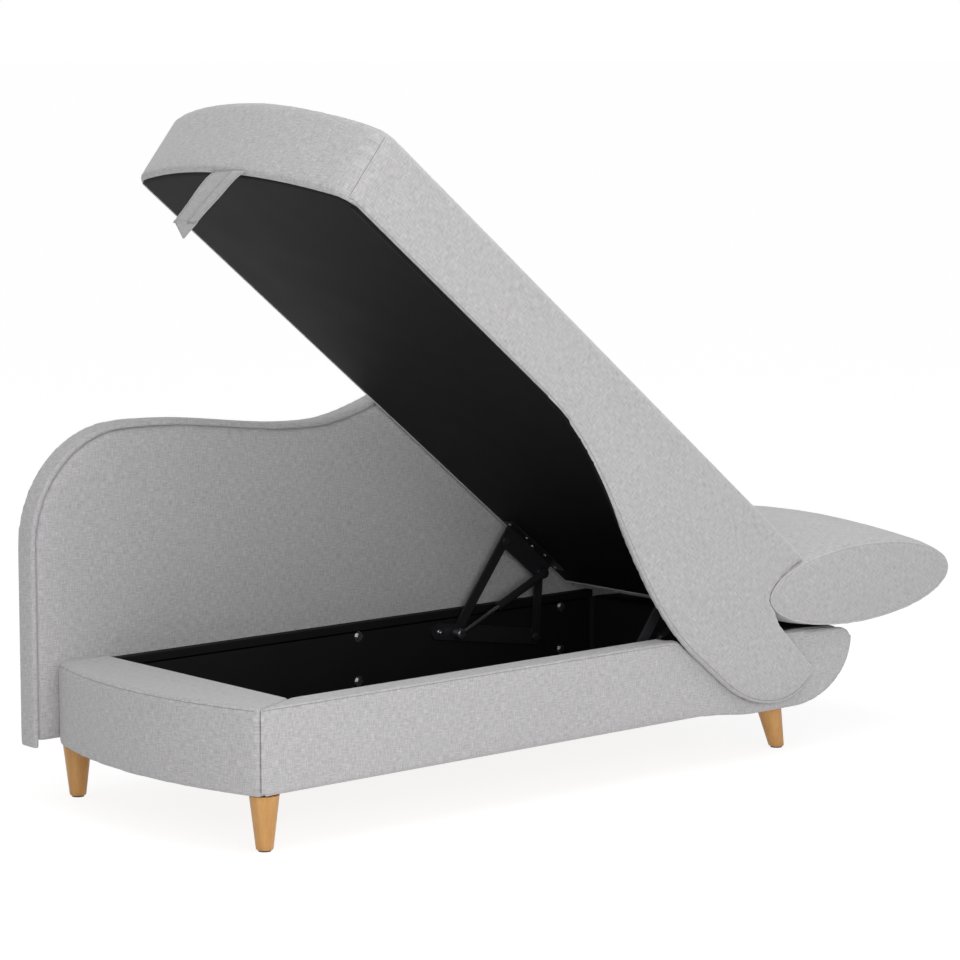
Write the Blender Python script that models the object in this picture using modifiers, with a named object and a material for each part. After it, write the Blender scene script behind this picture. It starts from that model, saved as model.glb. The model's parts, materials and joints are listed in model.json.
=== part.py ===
"""Storage chaise longue: an upholstered box on wooden legs, a wavy backrest along the far side, and a
seat with a headrest roll that lifts at the foot end on a pair of four-bar linkages with gas springs.

Metres, +Z up. +X runs from the foot end to the head end, +Y from the near side to the backrest.
The seat is modelled lifted, as it stands at rest. The origin is under the middle of the whole piece.
"""
import math

import bmesh
import bpy
from mathutils import Matrix, Vector

# Clearances
FACE_GAP = 0.0003            # between pieces that seat on each other
RUN_GAP = 0.0005             # between flat linkage pieces that slide past each other
LID_GAP = 0.003              # closed lid above the rim of the box
SIDE_GAP = 0.003             # the lid's cheek outside the near face of the box
FAR_GAP = 0.007              # the lid short of the backrest
ROLL_GAP = 0.004             # round the headrest roll where it lies in the seat
CHEEK_LAP = 0.004            # how far the near side reaches up behind the lifted cheek

# Box
LEG_HEIGHT = 0.112
BASE_HEIGHT = 0.170
BASE_DEPTH = 0.646           # near face to the front of the backrest
BASE_LENGTH = 1.615          # near foot corner to the head end
FOOT_BULGE = 0.055           # how far the foot end curves out
FOOT_SLANT = 0.012           # how far the far foot corner leads the near one
LID_OVERHANG = 0.008         # the lid past the box at the foot end
NEAR_WALL = 0.052
FOOT_WALL = 0.117            # near foot corner to the inside of the foot wall
HEAD_BLOCK = 0.185           # the head rail, in from the head end
SKIN = 0.026                 # foam and cloth outside the rails
FAR_SKIN = 0.022
CAP = 0.020                  # foam and cloth on top of the rails
RAIL = 0.0221
BOARD = 0.015
LINING = 0.003
RIM_RADIUS = 0.008
SHOULDER_RADIUS = 0.015      # where the near rim turns down into the dip
STRIP = 0.012                # what is left of the near side under the dip
HEAD_SAG = 0.012             # how much lower the underside is at the head end
SAG_START = 0.445            # where it starts to drop and where it is lowest, in from the head end
SAG_FULL = 0.295
DIP_FOOT_BACK = 0.270        # head side of the dip, in from the head end, at its foot and at its top
DIP_TOP_BACK = 0.230
HEAD_TOP_INNER = 0.152
HEAD_TOP_OUTER = 0.140
HEAD_ROUND_X = 0.175         # the rounded underside of the head end
HEAD_ROUND_Z = 0.120
HEAD_EDGE = 0.020

# Legs
LEG_TOP_RADIUS = 0.029
LEG_FOOT_RADIUS = 0.0165
FOOT_LEG_X = 0.043           # foot legs, from the near foot corner
FOOT_LEG_Y = 0.038           # near legs at the foot and at the head, from the near face
HEAD_LEG_Y = 0.061
HEAD_LEG_BACK = 0.196        # head legs, in from the head end
FAR_LEG_OUT = 0.008          # far legs, past the front of the backrest
HEAD_LEG_SPLAY = 0.030       # how far the head legs' feet lean out
PLATE_SIZE = 0.040
PLATE = 0.003
GLIDE = 0.0025
GLIDE_RADIUS = 0.0125

# Backrest
BACK_LEFT = -0.064
BACK_SHORT = 0.063           # the backrest's head edge, in from the head end
BACK_PAD = 0.022
BACK_BOARD = 0.018
BACK_COVER = 0.0124
BACK_BAND = 0.012            # cloth-covered band round the edge
BACK_SOFT = 0.006            # softened edge of the front pad
FOOT_CORNER_X = 0.234        # rounded foot corner of the backrest
FOOT_CORNER_Z = 0.238
FOOT_HUMP_X = 0.210
FOOT_HUMP_Z = 0.638
DIP_X = 0.640
DIP_Z = 0.603
HEAD_HUMP_X = 1.030
HEAD_HUMP_Z = 0.690
HEAD_CORNER_Z = 0.400        # height of the rounded head corner
BOLT_FIRST = 0.158           # first column of bolts from the near foot corner, last from the head end
BOLT_LAST = 0.285
BOLT_COLUMNS = 3
BOLT_LOW = 0.040
BOLT_HIGH = 0.137
BOLT_RADIUS = 0.004
BOLT_HEAD_RADIUS = 0.0078
BOLT_HEAD = 0.0055
WASHER_RADIUS = 0.011
WASHER = 0.0016

# Lid, measured from its near foot corner at its underside, as it lies when closed
UNDERLINING = 0.0027
UNDERLINING_INSET = 0.012
DECK = 0.016
DECK_INSET = 0.003
SIDE_BOARD = 0.009
SIDE_PAD = 0.006
SIDE_BOARD_INSET = 0.006
SEAT_EDGE = 0.160            # height of the seat's top edge above its underside
SEAT_CROWN = 0.014
SEAT_FALL = 0.35             # share of the crown lost towards the ends
SEAT_BACK = 0.132            # the seat's head end, in from the head end of the box
LID_CORNER = 0.040           # rounding of the lid's two foot corners
SEAT_DRAW_IN = 0.003
SEAT_ROUND = 0.012           # rounding of the seat's top edge
SEAT_LEVELS = ((0.35, 0.6), (0.70, 1.0), (1.0, 0.0))     # share of the height, share of the drawing in
SEAT_ALONG = 18
SEAT_ACROSS = 12
SEAT_CROWD = 1.6             # how closely the columns crowd towards the sides
CHEEK_START = 0.643          # where the lid's lower near edge starts to drop
CHEEK_DEEP_BACK = 0.278      # where it reaches its full depth, in from the head end
CHEEK_DEPTH = 0.184
CHEEK_TIP_OUT = 0.041        # the tail's tip, past the head end
CHEEK_TAIL_X = 0.216
CHEEK_TIP_DEPTH = 0.025
CHEEK_NECK_BACK = 0.160      # where the tail's upper edge leaves the seat, in from the head end
CHEEK_DROP_BACK = 0.105
ROLL_MAJOR = 0.287
ROLL_MINOR = 0.086
ROLL_OUT = 0.049             # roll's axis, past the head end and above the lid's underside
ROLL_UP = 0.213
ROLL_TILT = 40.0
ROLL_INSET = 0.002           # the roll's ends, in from the lid's sides
ROLL_CROWN = 0.42            # how much fuller the roll's upper side is in the middle, as a share
ROLL_EDGE = 0.008
HEAD_BOARD = 0.012
HEAD_BOARD_LOW = 0.276       # headrest board, from the roll's axis to its lower and upper edge
HEAD_BOARD_HIGH = 0.200
HEAD_BOARD_MARGIN = 0.090    # in from the lid's sides
HEAD_BRACKET = 0.004
HEAD_BRACKET_BACK = 0.315    # the bracket's foot end, in from the head end
HEAD_BRACKET_REACH = 0.080   # from the roll's axis to the end of the bracket's leg
HEAD_BRACKET_MARGIN = 0.200
STRAP_NEAR = 0.230           # pull strap's near edge at the lid, from the near face
STRAP_TOP = 0.100            # its width at the lid
STRAP_WIDTH = 0.075          # its width at the fold
STRAP_LEAN = 0.045           # how far its near edge leans towards the backrest
STRAP_LENGTH = 0.164
STRAP_POINT = 0.036          # length of the folded point
STRAP_TIP = 0.012            # the point's tip, from the near edge
STRAP = 0.003

# Lift linkage. A and B are the arms' pivots on the box, C and D on the lid
LID_OPEN = 38.74             # how far the lid turns, in degrees
ARM_OPEN = 53.03             # front arm's slope with the lid open, in degrees
A_BACK = 0.605               # in from the head end, and above the underside of the box
A_Z = 0.116
B_Z = 0.080
C_BACK = 0.369               # in from the head end, and above the lid's underside
C_UP = -0.033
PIVOT_SPACING = 0.130        # from C to D
BRACKET = 0.0075             # thick enough that the arms pass over the bolt heads
BRACKET_RADIUS = 0.018
BRACKET_TAIL = 0.048         # from A to the bracket's front bolt
ARM = 0.005
FRONT_ARM_RADIUS = 0.0115
REAR_ARM_RADIUS = 0.0110
LUG = 0.003
LUG_RADIUS = 0.016
FLANGE_WIDTH = 0.035
PIN_RADIUS = 0.006
PIN_HEAD_RADIUS = 0.0085
PIN_HEAD = 0.002
PIN_HOLE = PIN_RADIUS + FACE_GAP
ROD_RADIUS = 0.004
ROD_LENGTH = 0.235
CYLINDER_RADIUS = 0.009
CYLINDER_LENGTH = 0.150
CYLINDER_BORE = 0.126
EYE_RADIUS = 0.0115
EYE = 0.006

# Fineness of curved shapes
ROUND_STEPS = 24
ROLL_STEPS = 36
ARC_STEPS = 10
EDGE_STEPS = 16
WAVE_STEPS = 12

# Worked-out places, in the box's own frame: X from the near foot corner, Z from the floor
FLOOR_OF_BOX = LEG_HEIGHT
HEAD_WALL = BASE_LENGTH - HEAD_BLOCK
DIP_HEAD_FOOT = BASE_LENGTH - DIP_FOOT_BACK
DIP_HEAD_TOP = BASE_LENGTH - DIP_TOP_BACK
HEAD_LEG_X = BASE_LENGTH - HEAD_LEG_BACK
FAR_LEG_Y = BASE_DEPTH + FAR_LEG_OUT
BACK_RIGHT = BASE_LENGTH - BACK_SHORT
BOLT_PITCH = (BASE_LENGTH - BOLT_LAST - BOLT_FIRST) / (BOLT_COLUMNS - 1)
DECK_END = HEAD_WALL
SEAT_END = BASE_LENGTH - SEAT_BACK
CHEEK_DEEP = BASE_LENGTH - CHEEK_DEEP_BACK
CHEEK_TIP = BASE_LENGTH + CHEEK_TIP_OUT
CHEEK_NECK = BASE_LENGTH - CHEEK_NECK_BACK
CHEEK_NECK_DROP = BASE_LENGTH - CHEEK_DROP_BACK
ROLL_S = BASE_LENGTH + ROLL_OUT
HEAD_BRACKET_START = BASE_LENGTH - HEAD_BRACKET_BACK
A_X = BASE_LENGTH - A_BACK
C_S = BASE_LENGTH - C_BACK
D_S = C_S + PIVOT_SPACING
RIM = LEG_HEIGHT + BASE_HEIGHT
RAIL_TOP = RIM - CAP - FACE_GAP
LID_PROUD = SIDE_GAP + SIDE_BOARD + FACE_GAP + SIDE_PAD
LID_NEAR = -LID_PROUD
LID_FAR = BASE_DEPTH - FAR_GAP
DECK_LOW = UNDERLINING + FACE_GAP
DECK_TOP = DECK_LOW + DECK
LINING_NEAR = SKIN + FACE_GAP + RAIL + FACE_GAP
LINING_FAR = BASE_DEPTH - FAR_SKIN
NEAR_INSIDE = LINING_NEAR + LINING
FAR_INSIDE = LINING_FAR - LINING

# Layers of the linkage, counted from the lining's inner face towards the middle of the box
BRACKET_BACK = FACE_GAP
BRACKET_FACE = BRACKET_BACK + BRACKET
ARM_BACK = BRACKET_FACE + RUN_GAP
ARM_FACE = ARM_BACK + ARM
LUG_BACK = ARM_FACE + RUN_GAP
LUG_FACE = LUG_BACK + LUG
STRUT_MIDDLE = LUG_FACE + FACE_GAP + PIN_HEAD + 2 * RUN_GAP + CYLINDER_RADIUS
EYE_BACK = STRUT_MIDDLE - EYE / 2
EYE_FACE = STRUT_MIDDLE + EYE / 2


def turn(point, degrees):
    """An (x, z) point turned about +Y, which lifts what lies towards the foot end."""
    angle = math.radians(degrees)
    x, z = point
    return Vector((x * math.cos(angle) + z * math.sin(angle), z * math.cos(angle) - x * math.sin(angle)))


def slope(start, end):
    """Slope of the line between two (x, z) points, in degrees above the +X direction."""
    return math.degrees(math.atan2(end[1] - start[1], end[0] - start[0]))


def polar(length, degrees):
    """An (x, z) offset of a given length and slope."""
    return Vector((length * math.cos(math.radians(degrees)), length * math.sin(math.radians(degrees))))


# The linkage closes exactly at both ends of its travel: both arms keep their lengths
PIVOT_A = Vector((A_X, FLOOR_OF_BOX + A_Z))
LID_CLOSED = Vector((0.0, RIM + LID_GAP))
C_ON_LID = Vector((C_S, C_UP))
D_ON_LID = Vector((D_S, C_UP))
C_CLOSED = LID_CLOSED + C_ON_LID
D_CLOSED = LID_CLOSED + D_ON_LID
FRONT_ARM_LENGTH = (C_CLOSED - PIVOT_A).length
C_OPEN = PIVOT_A + polar(FRONT_ARM_LENGTH, ARM_OPEN)
D_OPEN = C_OPEN + turn(D_ON_LID - C_ON_LID, LID_OPEN)
D_MIDDLE = (D_OPEN + D_CLOSED) / 2
D_TRAVEL = D_CLOSED - D_OPEN
PIVOT_B_Z = FLOOR_OF_BOX + B_Z
PIVOT_B = Vector((D_MIDDLE.x + (D_MIDDLE.y - PIVOT_B_Z) * D_TRAVEL.y / D_TRAVEL.x, PIVOT_B_Z))
REAR_ARM_LENGTH = (D_OPEN - PIVOT_B).length
REAR_ARM_OPEN = slope(PIVOT_B, D_OPEN)
STRUT_OPEN = slope(PIVOT_A, D_OPEN)
STRUT_LENGTH = (D_OPEN - PIVOT_A).length


def foot_edge(y):
    """Plan of the foot end: how far along X the outer edge lies at a depth."""
    across = 2 * y / BASE_DEPTH - 1
    return -FOOT_BULGE * (1 - across * across) - FOOT_SLANT * y / BASE_DEPTH


def box_edge(y):
    return foot_edge(y) + LID_OVERHANG / 2


def lid_edge(y):
    """Plan of the lid's foot end, its two corners rounded."""
    reach = min(max(LID_NEAR + LID_CORNER - y, y - LID_FAR + LID_CORNER, 0.0), LID_CORNER)
    rounding = LID_CORNER - math.sqrt(LID_CORNER ** 2 - reach ** 2)
    return foot_edge(y) - LID_OVERHANG / 2 + rounding


def spread(start, end, steps):
    """Evenly spaced values, both ends included."""
    return [start + (end - start) * step / steps for step in range(steps + 1)]


def arc(centre, radius_x, radius_z, start, end, steps=ARC_STEPS):
    """Points along part of an ellipse, from one angle to another in degrees."""
    angles = [math.radians(angle) for angle in spread(start, end, steps)]
    return [(centre[0] + radius_x * math.cos(a), centre[1] + radius_z * math.sin(a)) for a in angles]


def wave(start, end, steps=WAVE_STEPS):
    """A half wave between two points, level at both."""
    points = []
    for share in spread(0.0, 1.0, steps):
        rise = (1 - math.cos(math.pi * share)) / 2
        points.append((start[0] + (end[0] - start[0]) * share, start[1] + (end[1] - start[1]) * rise))
    return points


def capsule(start, end, radius):
    """Outline of a flat bar with round ends."""
    way = slope(start, end)
    return arc(start, radius, radius, way + 90, way + 270) + arc(end, radius, radius, way - 90, way + 90)


def circle(centre, radius):
    return arc(centre, radius, radius, 0, 360 - 360 / ROUND_STEPS, ROUND_STEPS - 1)


def strip(points, thickness):
    """Outline of a bent strip of even thickness along a path of (x, z) points."""
    left, right = [], []
    for index, point in enumerate(points):
        ways = []
        if index > 0:
            ways.append((Vector(point) - Vector(points[index - 1])).normalized())
        if index < len(points) - 1:
            ways.append((Vector(points[index + 1]) - Vector(point)).normalized())
        normals = [Vector((-way.y, way.x)) for way in ways]
        middle = sum(normals, Vector((0, 0))).normalized()
        offset = middle * (thickness / 2 / middle.dot(normals[0]))
        left.append(tuple(Vector(point) + offset))
        right.append(tuple(Vector(point) - offset))
    return right + left[::-1]


def inset(outline, distance):
    """An outline, listed anticlockwise, drawn in all round by a distance."""
    result = []
    count = len(outline)
    for index, point in enumerate(outline):
        before = (Vector(point) - Vector(outline[index - 1])).normalized()
        after = (Vector(outline[(index + 1) % count]) - Vector(point)).normalized()
        inward = Vector((-before.y - after.y, before.x + after.x)).normalized()
        reach = max(inward.dot(Vector((-before.y, before.x))), 0.5)
        result.append(tuple(Vector(point) + inward * (distance / reach)))
    return result


def clear_scene():
    for item in list(bpy.data.objects):
        bpy.data.objects.remove(item, do_unlink=True)


def new_collection(name):
    collection = bpy.data.collections.new(name)
    bpy.context.scene.collection.children.link(collection)
    return collection


def new_material(name, colour, roughness, metallic=0.0):
    material = bpy.data.materials.new(name)
    material.use_nodes = True
    shader = material.node_tree.nodes["Principled BSDF"]
    shader.inputs["Base Color"].default_value = (*colour, 1.0)
    shader.inputs["Roughness"].default_value = roughness
    shader.inputs["Metallic"].default_value = metallic
    material.diffuse_color = (*colour, 1.0)
    return material


clear_scene()
PARTS = new_collection("chaise_longue")
CUTTERS = new_collection("cutters")

CLOTH = new_material("grey_cloth", (0.52, 0.51, 0.52), 0.95)
LINING_CLOTH = new_material("black_lining", (0.012, 0.012, 0.013), 0.9)
TIMBER = new_material("pale_timber", (0.55, 0.40, 0.24), 0.7)
LEG_WOOD = new_material("oiled_wood", (0.60, 0.36, 0.14), 0.45)
STEEL = new_material("black_steel", (0.015, 0.015, 0.017), 0.4, 0.9)
ZINC = new_material("zinc_plate", (0.55, 0.56, 0.58), 0.35, 1.0)
FELT = new_material("dark_felt", (0.05, 0.05, 0.05), 1.0)


def evaluated_mesh(item):
    """A plain mesh of an object with its modifiers applied, in its own axes, its loose seams welded."""
    bpy.context.scene.collection.objects.link(item)
    graph = bpy.context.evaluated_depsgraph_get()
    mesh = bpy.data.meshes.new_from_object(item.evaluated_get(graph))
    bpy.data.objects.remove(item, do_unlink=True)
    model = bmesh.new()
    model.from_mesh(mesh)
    bmesh.ops.remove_doubles(model, verts=model.verts, dist=0.00001)
    bmesh.ops.dissolve_degenerate(model, edges=model.edges, dist=0.000001)
    bmesh.ops.recalc_face_normals(model, faces=model.faces)
    model.to_mesh(mesh)
    model.free()
    mesh.materials.clear()
    return mesh


def flat_mesh(outlines, thickness):
    """A flat piece cut to an outline, with holes where further outlines lie inside it. It lies on z 0."""
    curve = bpy.data.curves.new("outline", "CURVE")
    curve.dimensions = "2D"
    curve.fill_mode = "BOTH"
    curve.extrude = thickness / 2
    for outline in outlines:
        spline = curve.splines.new("POLY")
        spline.points.add(len(outline) - 1)
        for point, place in zip(spline.points, outline):
            point.co = (place[0], place[1], 0.0, 1.0)
        spline.use_cyclic_u = True
    mesh = evaluated_mesh(bpy.data.objects.new("outline", curve))
    mesh.transform(Matrix.Translation((0.0, 0.0, thickness / 2)))
    return mesh


def side_mesh(outlines, near, far):
    """A flat piece standing in the XZ plane, from one depth to another."""
    mesh = flat_mesh(outlines, far - near)
    mesh.transform(Matrix.Translation((0.0, far, 0.0)) @ Matrix.Rotation(math.pi / 2, 4, "X"))
    return mesh


def plan_mesh(outlines, low, high):
    """A flat piece lying in the XY plane, from one height to another."""
    mesh = flat_mesh(outlines, high - low)
    mesh.transform(Matrix.Translation((0.0, 0.0, low)))
    return mesh


def box_mesh(low, high):
    model = bmesh.new()
    size = [high[axis] - low[axis] for axis in range(3)]
    middle = [(high[axis] + low[axis]) / 2 for axis in range(3)]
    bmesh.ops.create_cube(model, size=1.0, matrix=Matrix.Translation(middle) @ Matrix.Diagonal((*size, 1.0)))
    mesh = bpy.data.meshes.new("box")
    model.to_mesh(mesh)
    model.free()
    return mesh


def turned_mesh(profile, steps=ROUND_STEPS):
    """A turned piece about Z. The profile is (radius, z) points, from the top down."""
    mesh = bpy.data.meshes.new("profile")
    edges = [(index, index + 1) for index in range(len(profile) - 1)]
    mesh.from_pydata([(radius, 0.0, z) for radius, z in profile], edges, [])
    item = bpy.data.objects.new("profile", mesh)
    screw = item.modifiers.new("turn", "SCREW")
    screw.axis = "Z"
    screw.steps = steps
    screw.render_steps = steps
    screw.use_merge_vertices = True
    screw.merge_threshold = 0.00001
    return evaluated_mesh(item)


def across_mesh(profile, steps=ROUND_STEPS):
    """A turned piece about Y. The profile is (radius, y) points, from the far end to the near end."""
    mesh = turned_mesh(profile, steps)
    mesh.transform(Matrix.Rotation(-math.pi / 2, 4, "X"))
    return mesh


def lengthwise_mesh(profile, steps=ROUND_STEPS):
    """A turned piece about the X axis. The profile is (radius, x) points, from the far end back."""
    mesh = turned_mesh(profile, steps)
    mesh.transform(Matrix.Rotation(math.pi / 2, 4, "Y"))
    return mesh


def combined(mesh, others, operation):
    """A mesh joined to others, or cut by them."""
    item = bpy.data.objects.new("body", mesh)
    tools = []
    for other in others:
        tool = bpy.data.objects.new("cutter", other)
        CUTTERS.objects.link(tool)
        tool.hide_render = True
        tool.display_type = "WIRE"
        tools.append(tool)
        boolean = item.modifiers.new("combine", "BOOLEAN")
        boolean.operation = operation
        boolean.solver = "EXACT"
        boolean.object = tool
    result = evaluated_mesh(item)
    for tool in tools:
        bpy.data.objects.remove(tool, do_unlink=True)
    return result


def cut(mesh, *others):
    return combined(mesh, others, "DIFFERENCE")


def joined(mesh, *others):
    return combined(mesh, others, "UNION")


def add_part(name, mesh, material, parent, offset=(0.0, 0.0, 0.0), smooth=True):
    """Names a sub-part, gives it its material and hangs it on its parent."""
    mesh.name = name
    if not mesh.materials:
        mesh.materials.append(material)
    if smooth:
        mesh.shade_smooth()
        mesh.set_sharp_from_angle(angle=math.radians(35))
    item = bpy.data.objects.new(name, mesh)
    PARTS.objects.link(item)
    item.parent = parent
    item.location = offset
    return item


def add_empty(name, parent, x=0.0, z=0.0, slope_up=0.0):
    """A joint's place: an empty on its axis, turned to the slope of what hangs on it."""
    item = bpy.data.objects.new(name, None)
    PARTS.objects.link(item)
    item.parent = parent
    item.location = (x, 0.0, z)
    item.rotation_euler.y = -math.radians(slope_up)
    return item


def softened(mesh, width, segments=2):
    """A padded piece with its sharp edges rounded."""
    item = bpy.data.objects.new("padded", mesh)
    bevel = item.modifiers.new("soft_edges", "BEVEL")
    bevel.width = width
    bevel.segments = segments
    bevel.limit_method = "ANGLE"
    bevel.angle_limit = math.radians(50)
    return evaluated_mesh(item)


ROOT = add_empty("chaise_root", None)
SIDES = ("near", "far")


def layer(side, back, face):
    """Depths of a linkage layer on one side of the box, low depth first."""
    if side == "near":
        return NEAR_INSIDE + back, NEAR_INSIDE + face
    return FAR_INSIDE - face, FAR_INSIDE - back


def inside_outline(end, clearance=0.0):
    """Plan of the room inside the cloth, from the curved foot end to a given X, grown by a clearance."""
    near = SKIN + FACE_GAP - clearance
    far = LINING_FAR + clearance
    curve = [(box_edge(y) + SKIN + FACE_GAP - clearance, y) for y in spread(far, near, EDGE_STEPS)]
    return curve + [(end, near), (end, far)]


def head_profile(start):
    """Side view of the head end from a given X on: underside, rounded end and top."""
    centre = (BASE_LENGTH - HEAD_ROUND_X, FLOOR_OF_BOX + HEAD_ROUND_Z)
    round_end = arc(centre, HEAD_ROUND_X, HEAD_ROUND_Z + HEAD_SAG, -90, 0)
    top_edge = arc((BASE_LENGTH - HEAD_EDGE, FLOOR_OF_BOX + HEAD_ROUND_Z), HEAD_EDGE,
                   HEAD_TOP_OUTER - HEAD_ROUND_Z, 0, 90, 4)
    share = (start - DIP_HEAD_TOP) / (BASE_LENGTH - HEAD_EDGE - DIP_HEAD_TOP)
    top_start = FLOOR_OF_BOX + HEAD_TOP_INNER + (HEAD_TOP_OUTER - HEAD_TOP_INNER) * share
    return round_end + top_edge[1:] + [(start, top_start)]


def lid_to_open(point):
    """Where a point of the lid's side lies with the lid open, in the box's frame."""
    return C_OPEN + turn(Vector(point) - C_ON_LID, LID_OPEN)


def dip_at(z):
    """Where the near side's edge, which follows the lifted cheek's curve, meets a given height."""
    curve = wave((CHEEK_START, CHEEK_LAP), (CHEEK_DEEP, CHEEK_LAP - CHEEK_DEPTH), 2 * WAVE_STEPS)
    points = [lid_to_open(point) for point in curve]
    points.append(points[-1] + turn((BASE_LENGTH, 0.0), LID_OPEN))
    below = [index for index, point in enumerate(points) if point.y < z][0]
    upper, lower = points[below - 1], points[below]
    return lower.x + (upper.x - lower.x) * (z - lower.y) / (upper.y - lower.y)


def near_outline():
    """Side view of the near side cover, anticlockwise from its foot corner."""
    floor = FLOOR_OF_BOX
    foot = box_edge(0.0)
    underside = wave((BASE_LENGTH - SAG_START, floor), (BASE_LENGTH - SAG_FULL, floor - HEAD_SAG), 6)
    turn_low = RIM - SHOULDER_RADIUS
    steep = slope((dip_at(turn_low), turn_low), (dip_at(RIM), RIM)) - 180
    reach = SHOULDER_RADIUS * math.tan(math.radians(-steep / 2))
    shoulder = arc((dip_at(RIM) - reach, turn_low), SHOULDER_RADIUS, SHOULDER_RADIUS, 90 + steep, 90, 6)
    heights = spread(floor + STRIP, shoulder[0][1], 10)[:-1]
    valley = [(DIP_HEAD_FOOT, floor + STRIP)] + [(dip_at(z), z) for z in heights]
    return [(foot, floor)] + underside + head_profile(DIP_HEAD_TOP) + valley + shoulder + [(foot, RIM)]


def make_frame():
    low = FLOOR_OF_BOX + BOARD + FACE_GAP
    board = plan_mesh([inside_outline(HEAD_WALL + FACE_GAP + RAIL)], FLOOR_OF_BOX, FLOOR_OF_BOX + BOARD)
    add_part("base_board", board, TIMBER, ROOT, smooth=False)
    near = box_mesh((FOOT_WALL + FACE_GAP, SKIN + FACE_GAP, low),
                    (HEAD_WALL, SKIN + FACE_GAP + RAIL, RAIL_TOP))
    add_part("near_rail", near, TIMBER, ROOT, smooth=False)
    far = box_mesh((FOOT_WALL + FACE_GAP, LINING_FAR + FACE_GAP, FLOOR_OF_BOX),
                   (HEAD_WALL, BASE_DEPTH - FACE_GAP, RIM - 2 * LID_GAP))
    add_part("far_rail", cut(far, bolt_cutter()), TIMBER, ROOT, smooth=False)
    foot = box_mesh((FOOT_WALL - RAIL, NEAR_WALL + FACE_GAP, low),
                    (FOOT_WALL - FACE_GAP, LINING_FAR - FACE_GAP, RAIL_TOP))
    add_part("foot_rail", foot, TIMBER, ROOT, smooth=False)
    head_top = FLOOR_OF_BOX + HEAD_TOP_OUTER
    head = box_mesh((HEAD_WALL + FACE_GAP, SKIN + FACE_GAP, low),
                    (HEAD_WALL + FACE_GAP + RAIL, BASE_DEPTH - FACE_GAP, head_top))
    add_part("head_rail", head, TIMBER, ROOT, smooth=False)


def make_lining():
    """The black lining: an open tray inside the rails."""
    low = FLOOR_OF_BOX + BOARD + FACE_GAP
    outer = box_mesh((FOOT_WALL, LINING_NEAR, low), (HEAD_WALL - FACE_GAP, LINING_FAR, RAIL_TOP))
    inner = box_mesh((FOOT_WALL + LINING, NEAR_INSIDE, low + LINING),
                     (HEAD_WALL - FACE_GAP - LINING, FAR_INSIDE, RIM))
    add_part("storage_lining", cut(outer, inner, bolt_cutter()), LINING_CLOTH, ROOT, smooth=False)


def make_near_cover():
    """Foam and cloth on the near side: outer face, capping of the rail, and the dip for the lid's cheek."""
    body = softened(side_mesh([near_outline()], 0.0, NEAR_WALL), RIM_RADIUS)
    past = NEAR_WALL + CAP
    foot, head = box_edge(0.0) - CAP, BASE_LENGTH + CAP
    low, under_cap = FLOOR_OF_BOX - HEAD_SAG - CAP, RAIL_TOP + FACE_GAP
    dip_top = dip_at(RIM) - SHOULDER_RADIUS
    room = [(foot, low), (head, low), (head, RIM + CAP), (dip_top, RIM + CAP)]
    room += [(dip_top, under_cap), (foot, under_cap)]
    corner, inside = (box_edge(0.0), 0.0), (FOOT_WALL, NEAR_WALL)
    mitre = plan_mesh([[corner, inside, (FOOT_WALL, past), (corner[0] - CAP, past), (corner[0] - CAP, 0.0)]],
                      FLOOR_OF_BOX - CAP, RIM + CAP)
    add_part("near_side_cover", cut(body, side_mesh([room], SKIN, past), mitre), CLOTH, ROOT)


def make_foot_cover():
    """Foam and cloth round the curved foot end, mitred into the near side, hollow over the base board."""
    far = BASE_DEPTH - FACE_GAP
    curve = [(box_edge(y), y) for y in spread(far, 0.0, EDGE_STEPS)]
    body = softened(plan_mesh([curve + [(FOOT_WALL, 0.0), (FOOT_WALL, far)]], FLOOR_OF_BOX, RIM), RIM_RADIUS)
    corner = (box_edge(0.0), 2 * FACE_GAP)
    inside = (FOOT_WALL, NEAR_WALL + 2 * FACE_GAP)
    past = FOOT_WALL + CAP
    mitre_outline = [(corner[0] - CAP, -CAP), (past, -CAP), (past, inside[1]), inside, corner]
    mitre_outline.append((corner[0] - CAP, corner[1]))
    mitre = plan_mesh([mitre_outline], FLOOR_OF_BOX - CAP, RIM + CAP)
    pocket = plan_mesh([inside_outline(past, FACE_GAP)], FLOOR_OF_BOX - CAP, RAIL_TOP + FACE_GAP)
    add_part("foot_end_cover", cut(body, mitre, pocket), CLOTH, ROOT)


def make_head_cover():
    """Foam and cloth of the rounded head end, behind the near side cover."""
    start = HEAD_WALL + 2 * FACE_GAP + RAIL
    outline = [point for point in head_profile(start) if point[0] > start]
    outline = [(start, outline[0][1])] + outline + [head_profile(start)[-1]]
    body = side_mesh([outline], SKIN + FACE_GAP, BASE_DEPTH - FACE_GAP)
    add_part("head_end_cover", body, CLOTH, ROOT)


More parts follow.
